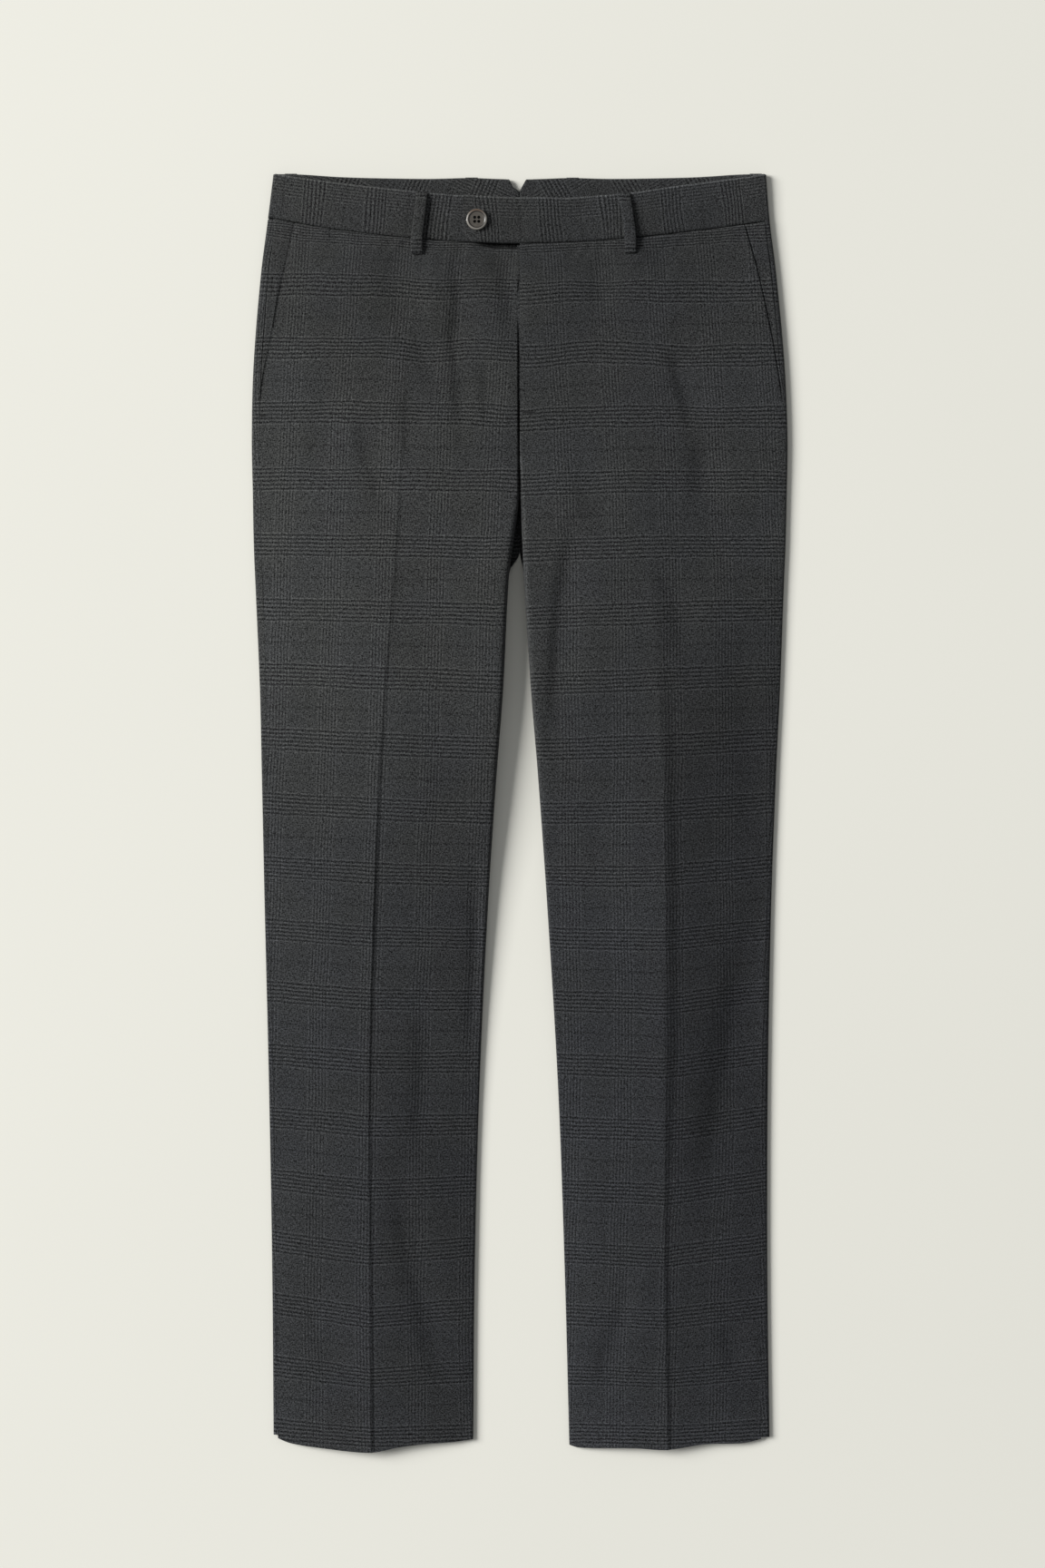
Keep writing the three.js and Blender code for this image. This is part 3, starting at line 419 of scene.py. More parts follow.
def ripples(x, y, row):
    """Smooth unevenness of about the row's size either way: waves of random directions, from its seed."""
    size, seed, longest, shortest, count = row
    rng = np.random.default_rng(seed)
    total = np.zeros(np.shape(x))
    for k in range(count):
        length = longest * (shortest / longest) ** (k / max(1, count - 1))
        turn = rng.uniform(0, math.pi)
        phase = rng.uniform(0, 2 * math.pi)
        total += np.sin((x * math.cos(turn) + y * math.sin(turn)) * 2 * math.pi / length + phase)
    return size * (total / math.sqrt(count))


def run_of(points):
    """Length along a line of points, from its start to each of them."""
    steps = np.linalg.norm(np.diff(points, axis=0), axis=1)
    return np.concatenate([[0], np.cumsum(steps)])


def bell(value, middle, half):
    """1 in the middle, falling off softly over half."""
    return np.exp(-(((value - middle) / half) ** 2))


# ---- Lines of the waist and the hem --------------------------------------------------


def rise(d, power):
    """0 at the centre and 1 at the side, steeper the higher the power."""
    return (np.abs(d) / SIDE_X) ** power


def bumps(rows, at):
    """The sum of a table's small bumps."""
    return sum(size * bell(at, middle, half) for middle, half, size in rows)


def front_seam_y(x):
    """Height of the front waist seam at x."""
    at_side = np.where(np.asarray(x) < 0, SEAM_KICK["right"], SEAM_KICK["left"]) * rise(x, 6)
    return SEAM_Y + SEAM_RISE * rise(x, 1.75) + at_side


def front_top_y(x):
    """Height of the front waistband's top edge."""
    return FRONT_TOP_Y + FRONT_TOP_RISE * rise(x, 1.6) - bumps(TOP_SAGS, x)


def back_seam_y(d):
    """Height of the seam under the back waistband."""
    return BACK_SEAM_Y + BACK_SEAM_RISE * rise(d, 2.5)


def back_top_y(d):
    """Height of the back waistband's top edge."""
    return BACK_TOP_Y + BACK_TOP_RISE * rise(d, 2.5) + bumps(LOOP_BUMPS, d)


def fly_raise(x, y):
    """How far the left front lies above the right one along the fly."""
    return FLY_RAISE * ease(FLY_END_Y, FLY_FULL_Y, y) * (1 - ease(2, FLY_WIDTH, x))


# ---- The legs' form ------------------------------------------------------------------


def base_z(y):
    """How far the lower side of the garment lies above the floor."""
    return BAND_LIFT * ease(LIFT_FROM, LIFT_TO, y)


class Station:
    """What the section across a leg needs, for an array of heights y."""

    def __init__(self, leg, y):
        self.y = np.asarray(y, float)
        self.base = base_z(self.y)
        self.outer = curve(PLAN[leg], "outer", self.y)
        self.crease = curve(PLAN[leg], "crease", self.y)
        self.inner = np.maximum(0, curve(PLAN[leg], "inner", self.y))
        self.side_z = curve(HEIGHTS, "side", self.y)
        self.crease_z = curve(HEIGHTS, "crease", self.y)
        self.inner_z = curve(HEIGHTS, "inner", self.y)
        self.dome = curve(HEIGHTS, leg + "_dome", self.y)
        self.roll = (self.side_z - self.base) / 2
        self.inner_roll = np.minimum(INSEAM_ROLL, (self.inner_z - self.base) / 2)
        self.parted = 1 - ease(CROTCH_Y - LIP_LENGTH, CROTCH_Y, self.y)
        self.fork = 1 - ease(FORK_LOW, FORK_TOP, self.y)
        self.start = self.outer - self.roll
        self.end = self.inner + self.inner_roll * self.parted
        low = self.base + CLOTH + 2 * GAP
        self.inseam_z = mix(low, (self.base + self.inner_z) / 2, self.fork)

    def top(self, d):
        """Height of the smooth top face at distance d from the centre line."""
        out = np.clip((self.start - d) / (self.start - self.crease), 0, 1)
        inn = np.clip((self.crease - d) / (self.crease - self.end), 0, 1)
        outside = mix(self.side_z, self.crease_z, 1 - (1 - out) ** self.dome)
        inside = mix(self.inner_z, self.crease_z, 1 - inn ** (self.dome + INNER_DOME))
        return np.where(d > self.crease, outside, inside)


ROLL_STEPS = 12
FLAT_STEPS = 60


def over_line(st):
    """The section from the bottom of the side roll, over the crease, to the foot of the inner edge."""
    turn = np.linspace(-1, 1, 2 * ROLL_STEPS + 1) * math.pi / 2
    t = np.linspace(0, 1, FLAT_STEPS + 1)[1:]
    side_d = st.start + st.roll * np.cos(turn)
    side_z = st.base + st.roll + st.roll * np.sin(turn)
    out_d = mix(st.start, st.crease, t)
    inn_d = mix(st.crease, st.end, t)
    half = (st.inner_z - st.base) / 2
    roll_d = st.end - st.inner_roll * st.parted * np.cos(turn[::-1][1:])
    roll_z = st.base + half + half * np.sin(turn[::-1][1:])
    d = np.hstack([side_d, out_d, inn_d, roll_d])
    return d, np.hstack([side_z, st.top(out_d), st.top(inn_d), roll_z])


def under_line(st):
    """The section from the bottom of the side roll along the floor to its inner end."""
    flat = np.linspace(0, 1, FLAT_STEPS + 1)
    turn_d = st.inner + st.inner_roll
    floor_d = mix(st.start, turn_d, flat)
    half = (st.inner_z - st.base) / 2
    seam = np.arcsin(np.clip(1 - (st.inseam_z - HALF_GAP - st.base) / half, 0, 1))
    k = np.linspace(0, 1, 2 * ROLL_STEPS + 1)[1:]
    angle = mix(-math.pi / 2, -seam, k)
    rolled_d = turn_d - st.inner_roll * np.cos(angle)
    rolled_z = st.base + half + half * np.sin(angle)
    flat_d = mix(turn_d, HALF_GAP, k)
    d = np.hstack([floor_d, mix(flat_d, rolled_d, st.fork)])
    z = np.hstack([floor_d * 0 + st.base, mix(st.base, rolled_z, st.fork)])
    return d, z


def lengths(d, z):
    """Length along each section, from its start."""
    steps = np.hypot(np.diff(d, axis=1), np.diff(z, axis=1))
    return np.hstack([np.zeros((len(d), 1)), np.cumsum(steps, axis=1)])


def spread(marks, counts, powers):
    """Columns between marks: each stretch gets its share, drawn to its far or near end by its power."""
    columns = [marks[:, :1]]
    for k, (count, power) in enumerate(zip(counts, powers)):
        t = np.linspace(0, 1, count + 1)[1:]
        t = t**power if power > 0 else 1 - (1 - t) ** -power
        columns.append(mix(marks[:, k : k + 1], marks[:, k + 1 : k + 2], t))
    return np.hstack(columns)


class Sheet:
    """A leg panel's sections, tabled at even heights, and read at any height for each of its columns."""

    STEP = 2.0

    def __init__(self, d, z, s, low):
        self.tables = (d, z, s)
        self.low = low

    def at(self, y):
        """The section's points, and the length along it, at a height y for each column."""
        d = self.tables[0]
        place = np.clip((y - self.low) / self.STEP, 0, len(d) - 1.001)
        i = place.astype(int)
        t = place - i
        column = np.arange(d.shape[1])
        return [mix(rows[i, column], rows[i + 1, column], t) for rows in self.tables]


HEIGHT_STEPS = np.arange(-548, 548, Sheet.STEP)


def inset_of(leg, y, pocket):
    """How far inside the outer edge the front starts: at the side seam, or at the pocket's edge."""
    seam = curve(SIDE_SEAM[leg], "inset", y)
    if not pocket:
        return seam
    return np.where(y > POCKET_END_Y, np.maximum(seam, curve(POCKET[leg], "inset", y)), seam)


def length_inside(st, d, s, inset):
    """Length along each over line at the place this far inside the outer edge, on its top side."""
    found = []
    top = slice(ROLL_STEPS, EDGE_COLUMN + 1)
    for row, limit in enumerate(st.outer[:, 0] - inset[:, 0]):
        found.append(np.interp(-limit, -d[row, top], s[row, top]))
    return np.array(found)[:, None]


def sample(d, z, s, columns, crease):
    """Points at the lengths in columns; their third value is the length outward from the crease."""
    rows = [(np.interp(c, k, a), np.interp(c, k, b)) for a, b, k, c in zip(d, z, s, columns)]
    return np.array([r[0] for r in rows]), np.array([r[1] for r in rows]), crease - columns


# How many columns each stretch of a panel's section gets, and how they crowd to its ends.
FRONT_COUNTS = (46, 42, 10)
FRONT_POWERS = (-1.35, 1.35, 1)
BACK_COUNTS = (10, 46, 8)
BACK_POWERS = (1, 1, 1)
POCKET_COUNTS = (16, 12)
POCKET_POWERS = (-1.5, 1.5)
CREASE_COLUMN = 2 * ROLL_STEPS + FLAT_STEPS
EDGE_COLUMN = 2 * ROLL_STEPS + 2 * FLAT_STEPS
SHORTEST_ROLL = 6


def front_sheet(leg):
    """The front panel's sections, from the outer edge over the crease to the inner edge."""
    y = HEIGHT_STEPS[:, None]
    st = Station(leg, y)
    d, z = over_line(st)
    s = lengths(d, z)
    first = length_inside(st, d, s, inset_of(leg, y, pocket=True)) + HALF_GAP
    crease = s[:, CREASE_COLUMN, None]
    edge = s[:, EDGE_COLUMN, None]
    foot = []
    rolled = slice(EDGE_COLUMN, None)
    for row in range(len(y)):
        foot.append(np.interp(-(st.inseam_z[row, 0] + HALF_GAP), -z[row, rolled], s[row, rolled]))
    last = mix(edge - HALF_GAP, np.array(foot)[:, None], st.parted)
    roll = np.maximum(SHORTEST_ROLL, last - edge)
    columns = spread(np.hstack([first, crease, last - roll, last]), FRONT_COUNTS, FRONT_POWERS)
    d, z, s = sample(d, z, s, columns, crease)
    if leg == "right":
        d[:, -1:] -= (FLY_UNDER + GAP) * ease(FLY_TUCK_Y, FLY_TUCK_Y + TUCK_LENGTH, y)
    return Sheet(d, z, s, HEIGHT_STEPS[0])


def back_sheet(leg):
    """The back panel's sections, from the side seam round the side and under the leg."""
    y = HEIGHT_STEPS[:, None]
    st = Station(leg, y)
    d, z = over_line(st)
    s = lengths(d, z)
    seam = length_inside(st, d, s, inset_of(leg, y, pocket=False)) - HALF_GAP
    # One line from the side seam, round under the leg, to the inner end.
    under_d, under_z = under_line(st)
    t = np.linspace(1, 0, 2 * ROLL_STEPS + 1)
    rolls = [(np.interp(t * n, k, a), np.interp(t * n, k, b)) for a, b, k, n in zip(d, z, s, seam[:, 0])]
    round_d = np.array([r[0] for r in rolls])
    round_z = np.array([r[1] for r in rolls])
    d = np.hstack([round_d, under_d[:, 1:]])
    z = np.hstack([round_z, under_z[:, 1:]])
    s = lengths(d, z)
    corner = s[:, 2 * ROLL_STEPS, None]
    last = s[:, -1:]
    turn = s[:, CREASE_COLUMN, None]
    marks = np.hstack([0 * corner, corner, np.minimum(turn, last - SHORTEST_ROLL), last])
    middle = corner + (st.start - st.crease)
    return Sheet(*sample(d, z, s, spread(marks, BACK_COUNTS, BACK_POWERS), middle), HEIGHT_STEPS[0])


BEND_ROUNDS = 4


def leg_grid(sheet, rows, top_y, hem_y):
    """A leg panel's points: its level rows are bent to the waist seam above and to the hem below."""
    top, hem = rows[0], rows[-1]
    level = np.repeat(rows[:, None], sheet.tables[0].shape[1], axis=1)
    y = level
    for _ in range(BEND_ROUNDS):
        d, z, s = sheet.at(y)
        to_top = ease(top - WAIST_REACH, top, level) * (top_y(d) - top)
        to_hem = (1 - ease(hem, hem + HEM_REACH, level)) * (hem_y(d) - hem)
        y = level + to_top + to_hem
    d, z, s = sheet.at(y)
    return d, y, z, s


# ---- Folds, creases and puckers ------------------------------------------------------


CREASE_FADE = 6.0  # the pressed ridge fades over this width to -X
DROP_FADE = 30  # and the drop on its +X side over this one
PUCKER_SIZE = 0.22  # puckers under the waistband: their height
PUCKER_PITCH = 3.4  # how closely they follow each other
PUCKER_REACH = 44  # how far below the seam they start
PUCKER_FULL = 4  # and where they are whole
SLOT_START = 3  # the sinking under the tab starts this far from its free end
SLOT_WHOLE = 34  # and is whole here
FLY_FALL_Y = (258, 290)  # along the fly the right front falls away between these heights
FLY_HOLD_Y = (SEAM_Y - 52, SEAM_Y - 22)  # and these ones
CROTCH_DIP = 4.0


def fold_depth(x, y, folds=FOLDS):
    """How deep all the folds are at x, y; each is deepest half way along its line."""
    depth = np.zeros(np.shape(x))
    for points, near, far, deep in folds:
        away, along = away_from_line(points, x, y)
        ends = ease(0, 0.3, along) * (1 - ease(0.7, 1, along))
        depth += deep * (0.2 + 0.8 * ends) * np.exp(-((away / np.where(away < 0, near, far)) ** 2))
    return depth


def crease_ridge(leg, d, y, size):
    """The pressed edge itself: it rises gently to a low ridge, and drops on its +X side."""
    sharp = size * curve(PRESS[leg], "sharp", y)
    drop = size * curve(PRESS[leg], "drop", y)
    past = SIDE[leg] * (d - curve(PLAN[leg], "crease", y))
    far = np.maximum(past, 0)
    edge = (sharp + drop) * (1 - ease(0, curve(PRESS[leg], "width", y), far))
    fall = edge - drop * np.exp(-far / DROP_FADE)
    return np.where(past < 0, sharp * np.exp(np.minimum(past, 0) / CREASE_FADE), fall)


def relief(leg, d, y, folds=1.0, crease=1.0):
    """What the drape adds to the height of a front, in its middle."""
    x = SIDE[leg] * d
    uneven = ripples(x, y, WIDE_WAVES[leg]) + ripples(x, y, SMALL_WAVES)
    near_seam = ease(PUCKER_REACH, PUCKER_FULL, front_seam_y(x) - y)
    pucker = near_seam * PUCKER_SIZE * np.sin(x / PUCKER_PITCH + ripples(x, y, PUCKER_WAVES))
    return crease_ridge(leg, d, y, crease) - folds * fold_depth(x, y) + uneven + pucker


def under_tab(x, y):
    """The right front sinks below the free tab's lower edge."""
    across = ease(SLOT_START - TAB_LENGTH, SLOT_WHOLE - TAB_LENGTH, x)
    below = front_seam_y(x) - y
    return SLOT_DEPTH * across * (1 - ease(1.6 + 1.5 * across, 3.4 + 1.7 * across, below))


def under_fly(d, y):
    """The right front falls away towards the edge of the fly, and drops under it."""
    down = ease(*FLY_FALL_Y, y) * (1 - ease(*FLY_HOLD_Y, y))
    return down * (0.5 * (1 - ease(0, 13, d)) + 3.9 * (1 - ease(0.2, 2.1, d)))


def crotch_dip(d, y):
    """Both fronts turn down into the end of the fly."""
    deep = ease(312, 272, y) * ease(236, 262, y)
    return CROTCH_DIP * deep * (1 - ease(0.2, 2.2, d))


def surface_z(leg, x, y, sizes):
    """Height of the finished top face at x, y."""
    st = Station(leg, y)
    d = SIDE[leg] * x
    z = st.top(d) + relief(leg, d, y, sizes.fold_strength, sizes.crease_ridge / MM)
    return z + (fly_raise(x, y) if leg == "left" else 0)


# ---- Where the check lies on the cloth -----------------------------------------------


def leg_weave(leg, d, y, s):
    """Place on the cloth in millimetres: across the warp groups, and across the weft bands."""
    x = SIDE[leg] * d
    level = y
    for _ in range(BEND_ROUNDS):
        bend = WEFT_SHARE * ease(SEAM_Y - WEFT_REACH, SEAM_Y, level)
        level = y - bend * (front_seam_y(x) - SEAM_Y)
    crease = curve(PLAN[leg], "crease", y)
    out = np.maximum(d - crease, 0) * curve(GRAIN[leg], "out", level)
    inn = np.maximum(crease - d, 0) * curve(GRAIN[leg], "inn", level)
    wander = sum(ripples(x, y, row) for row in WEFT_WANDER)
    wander = wander + ripples(x, y, HIP_WANDER) * ease(170, 330, y)
    for sag_x, sag_y, half_x, half_y, drop in SAGS:
        wander = wander + drop * bell(x, sag_x, half_x) * bell(y, sag_y, half_y)
    v = WEFT_REPEAT * line(WEFT_BANDS[leg], "n", level - out - inn + wander)
    u = s - curve(GRAIN[leg], "warp", y) + ripples(x, y, WARP_WANDER)
    return u, v


# ---- Cloth shells --------------------------------------------------------------------


def weave_at(u, v, piece):
    """Weave coordinates in millimetres, moved so that no two pieces share the same bit of cloth."""
    return np.stack([u + 10 * WARP_REPEAT * (piece % 6), v + 22 * WEFT_REPEAT * (piece // 6)], -1)


def new_object(name, mesh, material):
    """A mesh put in the scene with its material."""
    obj = bpy.data.objects.new(name, mesh)
    bpy.context.scene.collection.objects.link(obj)
    mesh.materials.append(material)
    return obj


def build_mesh(name, vertices, faces, weave=None):
    """A smooth mesh from millimetres, with its place on the cloth as a texture map."""
    mesh = bpy.data.meshes.new(name)
    mesh.from_pydata((vertices * MM).tolist(), [], faces)
    if weave is not None:
        layer = mesh.uv_layers.new(name="weave")
        corners = np.zeros(len(mesh.loops), int)
        mesh.loops.foreach_get("vertex_index", corners)
        layer.data.foreach_set("uv", (weave[corners] * MM).astype(np.float32).ravel())
    mesh.polygons.foreach_set("use_smooth", [True] * len(mesh.polygons))
    mesh.validate()
    mesh.update()
    return mesh


def outline_of(rows, columns):
    """Row and column of each point round a grid's edge, in order."""
    top = [(0, c) for c in range(columns)]
    far = [(r, columns - 1) for r in range(1, rows)]
    low = [(rows - 1, c) for c in range(columns - 2, -1, -1)]
    near = [(r, 0) for r in range(rows - 2, 0, -1)]
    return np.array(top + far + low + near)


SQUARE_RIM = 0.1  # below this share a rim stays square and is shaded sharply
SHARP_RIM = math.radians(50)
SHARP_HORN = math.radians(40)


def shell(name, grid, weave, outward, thickness, material, offset=0.0, rim=0.25):
    """A thin closed cloth from a grid of points on its outer face, its rim rounded by a share."""
    rows, columns = grid.shape[:2]
    along, across = np.gradient(grid, axis=(0, 1))
    normal = outward * unit(np.cross(along, across))
    pull = np.zeros_like(grid)
    pull[0] += unit(grid[0] - grid[1])
    pull[-1] += unit(grid[-1] - grid[-2])
    pull[:, 0] += unit(grid[:, 0] - grid[:, 1])
    pull[:, -1] += unit(grid[:, -1] - grid[:, -2])
    pull = unit(pull) * (np.linalg.norm(pull, axis=-1, keepdims=True) > 0)
    outer = grid + normal * offset - pull * rim * thickness
    inner = outer - normal * thickness
    edge = outline_of(rows, columns)
    middle = (grid + normal * (offset - thickness / 2))[edge[:, 0], edge[:, 1]]
    vertices = np.vstack([outer.reshape(-1, 3), inner.reshape(-1, 3), middle])
    ids = np.arange(rows * columns).reshape(rows, columns)
    quads = np.stack([ids[:-1, :-1], ids[1:, :-1], ids[1:, 1:], ids[:-1, 1:]], -1).reshape(-1, 4)
    size = rows * columns
    around = ids[edge[:, 0], edge[:, 1]]
    following = np.roll(around, -1)
    rim_ids = 2 * size + np.arange(len(edge))
    rim_next = np.roll(rim_ids, -1)
    upper = np.stack([around, following, rim_next, rim_ids], -1)
    lower = np.stack([rim_ids, rim_next, following + size, around + size], -1)
    faces = np.vstack([quads, quads[:, ::-1] + size, upper, lower])
    if outward < 0:
        faces = faces[:, ::-1]
    flat_weave = weave.reshape(-1, 2)
    weaves = np.vstack([flat_weave, flat_weave, flat_weave[around]])
    mesh = build_mesh(name, vertices, faces.tolist(), weaves)
    if rim < SQUARE_RIM:
        mesh.set_sharp_from_angle(angle=SHARP_RIM)
    return new_object(name, mesh, material)


def declare(piece, node):
    """A cloth piece rides on the one body and stands for its part, which is hidden."""
    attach(piece, "root")
    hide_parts(node)
    return piece


# ---- Shader tools --------------------------------------------------------------------


class Value:
    """A socket's number; arithmetic on it adds Math nodes."""

    def __init__(self, paint, socket):
        self.paint = paint
        self.socket = socket

    def maths(self, operation, *others, clamp=False):
        """Adds a Math node that works on this number and the others."""
        values = {0: self}
        values.update({k + 1: other for k, other in enumerate(others)})
        return self.paint.node("ShaderNodeMath", {"operation": operation, "use_clamp": clamp}, values)

    def __add__(self, other):
        return self.maths("ADD", other)

    def __sub__(self, other):
        return self.maths("SUBTRACT", other)

    def __rsub__(self, other):
        return self.paint.node("ShaderNodeMath", {"operation": "SUBTRACT"}, {0: other, 1: self})

    def __mul__(self, other):
        return self.maths("MULTIPLY", other)

    def __truediv__(self, other):
        return self.maths("DIVIDE", other)

    def __abs__(self):
        return self.maths("ABSOLUTE")

    __radd__ = __add__
    __rmul__ = __mul__

    def cosine(self):
        return self.maths("COSINE")

    def whole(self):
        return self.maths("ROUND")

    def held(self):
        """Kept between 0 and 1."""
        return self.maths("ADD", 0.0, clamp=True)

    def between(self, low, high):
        """0 at low and 1 at high, softly."""
        values = {"Value": self, "From Min": low, "From Max": high}
        return self.paint.node("ShaderNodeMapRange", {"interpolation_type": "SMOOTHSTEP"}, values)


class Paint:
    """One material's node tree."""

    def __init__(self, name):
        self.material = bpy.data.materials.new(name)
        self.material.use_nodes = True
        self.tree = self.material.node_tree
        self.shader = next(n for n in self.tree.nodes if n.type == "BSDF_PRINCIPLED")

    def node(self, kind, settings=None, values=None, out=0):
        """Adds a node; its settings come first, then its sockets' values or links."""
        node = self.tree.nodes.new(kind)
        for key, setting in (settings or {}).items():
            setattr(node, key, setting)
        for key, value in (values or {}).items():
            self.feed(node.inputs[key], value)
        return Value(self, node.outputs[out])

    def feed(self, socket, value):
        """Links a value to a socket, or sets the socket to a number or a colour."""
        if isinstance(value, Value):
            self.tree.links.new(value.socket, socket)
        else:
            socket.default_value = value

    def blend(self, factor, a, b, how="MIX"):
        """Two colours mixed."""
        settings = {"data_type": "RGBA", "blend_type": how}
        return self.node("ShaderNodeMix", settings, {0: factor, 6: a, 7: b}, out=2)

    def shaded(self, colour, shade):
        """A colour multiplied by a number."""
        level = self.node("ShaderNodeCombineColor", values={0: shade, 1: shade, 2: shade})
        return self.blend(1.0, colour, level, "MULTIPLY")

    def raised(self, strength, distance, height):
        """The normal of a surface with small bumps."""
        values = {"Strength": strength, "Distance": distance, "Height": height}
        return self.node("ShaderNodeBump", values=values)

    def place(self):
        """The place on the object, in metres."""
        return self.node("ShaderNodeTexCoord", out=3)

    def split(self, place):
        """The first two parts of a vector."""
        first = self.node("ShaderNodeSeparateXYZ", values={0: place})
        return first, Value(self, first.socket.node.outputs[1])

    def vector(self, x, y, z=0.0):
        return self.node("ShaderNodeCombineXYZ", values={0: x, 1: y, 2: z})

    def noise(self, place, scale, detail=2.0, rough=0.5):
        values = {"Vector": place, "Scale": scale, "Detail": detail, "Roughness": rough}
        return self.node("ShaderNodeTexNoise", values=values)

    def set(self, **values):
        """Feeds the shader's sockets."""
        for name, value in values.items():
            self.feed(self.shader.inputs[name.replace("_", " ")], value)


def rgba(colour):
    """A colour with its alpha."""
    return (*colour[:3], 1.0)


CHECK_LINES = 6  # dark lines in each group of the check
TWILL_PITCH = 0.62
THREAD_PLY = 0.0004  # metres
# Painted shade in the groove inside the button's rim.
GROOVE_SHADE_COLOUR = (0.016, 0.012, 0.010, 1)
BROWN_HORN = (0.075, 0.038, 0.018, 1)
# Tints of the cloth; the cool one is partly a random drift of the dye and partly a painted cool shade.
WARM_TINT = (0.995, 1.004, 0.988, 1)
COOL_DRIFT_AND_SHADE_TINT = (0.966, 0.996, 1.105, 1)


def patch(position, centre, core, edge):
    """1 within core of the centre, fading to 0 at edge."""
    return 1 - abs(position - centre).between(core, edge)


def stripes(position, repeat, pitch):
    """Where a group of check lines lies in each repeat, and the lines themselves from -1 to 1."""
    offset = position - repeat * (position / repeat).whole()
    half = CHECK_LINES / 2
    inside = 1 - abs(offset).between((half + 0.02) * pitch, (half + 0.42) * pitch)
    return inside, inside * (offset * (2 * math.pi / pitch)).cosine()


def painted_light_and_shade(x, high, far_side):
    """Painted light and shade over the garment: paler hips, thighs, hems and lower-leg edges, painted
    shade beside the left knee's crease, darker lower legs and a darker far side.
    """
    hip = patch(high, 0.19, 0.06, 0.24) * (1 - far_side) * 0.13
    far_hip = x.between(0.125, 0.205) * high.between(0.10, 0.24) * 0.22
    thighs = patch(high, 0.25, 0.08, 0.20) * 0.04
    knee = x.between(0.114, 0.127) * patch(high, -0.10, 0.12, 0.27) * 0.14
    hems = (1 - high.between(-0.535, -0.47)) * (far_side * 0.5 + 0.5) * 0.10
    low_leg = 1 - high.between(-0.36, -0.20)
    edges = (patch(x, 0.038, 0.010, 0.034) + patch(x, -0.206, 0.006, 0.026)) * low_leg * 0.09
    length = high.between(-0.30, 0.02) * 0.12 + 0.84
    return length + hip + thighs + far_hip + hems + edges - knee - far_side * 0.05


def cloth_material(name, look, tone=1.0, folded=False):
    """Charcoal flannel with a glen check: groups of dark and light lines over a mottled ground, with
    painted light and shade over it, and when folded a painted highlight along the top fold.
    """
    paint = Paint(name)
    weave = paint.node("ShaderNodeUVMap", {"uv_map": "weave"})
    across, along = (part / MM for part in paint.split(weave))
    place = paint.vector(across, along)
    weft_in, weft = stripes(along, WEFT_REPEAT, look.weft_pitch / MM)
    warp_in, warp = stripes(across, WARP_REPEAT, look.warp_pitch / MM)

    # Yarns: short streaks along and across, and the mottle of mixed fibres.
    warp_yarn = paint.noise(paint.vector(across * 1.35, along * 0.34), 1.0, 1.0).between(0.28, 0.72)
    weft_yarn = paint.noise(paint.vector(across * 0.30, along * 1.35 + 9.0), 1.0, 1.0).between(0.28, 0.72)
    mottle = paint.noise(place, 0.80, 2.0, 0.6).between(0.30, 0.70)
    fleck = paint.noise(place, 1.7, 1.0).between(0.30, 0.70)
    drift = paint.noise(place, 0.011, 2.0)
    cloudy = paint.noise(place, 0.12, 2.0)
    streak = (warp_yarn - 0.5) * 0.66 + (weft_yarn - 0.5) * 0.60

    # A single dark pick half way between two bands.
    middle = along + WEFT_REPEAT / 2
    lone = abs(middle - WEFT_REPEAT * (middle / WEFT_REPEAT).whole())
    lone_pick = (1 - lone.between(0.35, 1.5)) * weft_yarn

    # Where both groups cross, the lines break into a small tooth.
    weft_part = (weft * 0.56 - weft_in * 0.03) * (weft_yarn + 0.5)
    warp_part = (warp * 0.38 + warp_in * 0.04) * (warp_yarn * 1.2 + 0.4) * (1 - weft_in * 0.35)
    lines = (weft_part + warp_part + weft * warp * 0.14) * look.check_strength
    grain = (mottle - 0.5) * 1.45 + (fleck - 0.5) * 1.15 + streak + (cloudy - 0.5) * 0.36
    shade = 1 + lines + grain * look.mottle_strength - lone_pick * 0.40
    if folded:
        # A painted highlight: the pale line along the pressed fold at the waistband's top edge.
        shade = shade + (1 - (across + 9).between(0.5, 1.3)) * (weft_yarn * 1.6 + 0.2)

    # Painted light and shade over the garment by place, with the side away from the light painted darker
    # and cooler, and a slow random drift of the tone.
    x, high = paint.split(paint.place())
    far_side = x.between(-0.05, 0.08)
    shade = shade * ((drift - 0.5) * 0.16 + 1.0) * painted_light_and_shade(x, high, far_side) * tone
    cloth = paint.blend((lines * 1.2 + 0.5).held(), rgba(look.dark_yarn), rgba(look.pale_yarn))
    ground = paint.blend((abs(lines) * 3.0).held(), rgba(look.ground), cloth)
    # Cool tint: partly a random drift of the dye, partly a painted cool shade on the far side and down the
    # lower legs.
    tint = paint.noise(paint.vector(across + 31.0, along), 0.018, 1.0).between(0.36, 0.66)
    drift_and_shade_coolness = (tint * 0.30 + far_side * 0.25 + (1 - high.between(-0.24, 0.20)) * 0.55).held()
    body = paint.blend(1.0, ground, paint.blend(drift_and_shade_coolness, WARM_TINT, COOL_DRIFT_AND_SHADE_TINT), "MULTIPLY")
    paint.set(Base_Color=paint.shaded(body, shade))

    # Fine twill and raised yarns.
    twill = ((across + along) * (2 * math.pi / TWILL_PITCH)).cosine() * 0.10
    height = twill + streak * 0.8 + (mottle - 0.5) * 0.4 + (fleck - 0.5) * 0.2
    paint.set(Normal=paint.raised(0.5, look.nap, height), Roughness=(fleck - 0.5) * 0.16 + 0.90)
    paint.shader.inputs["Sheen Weight"].default_value = look.sheen
    paint.shader.inputs["Sheen Roughness"].default_value = 0.55
    paint.shader.inputs["Specular IOR Level"].default_value = 0.12
    return paint.material


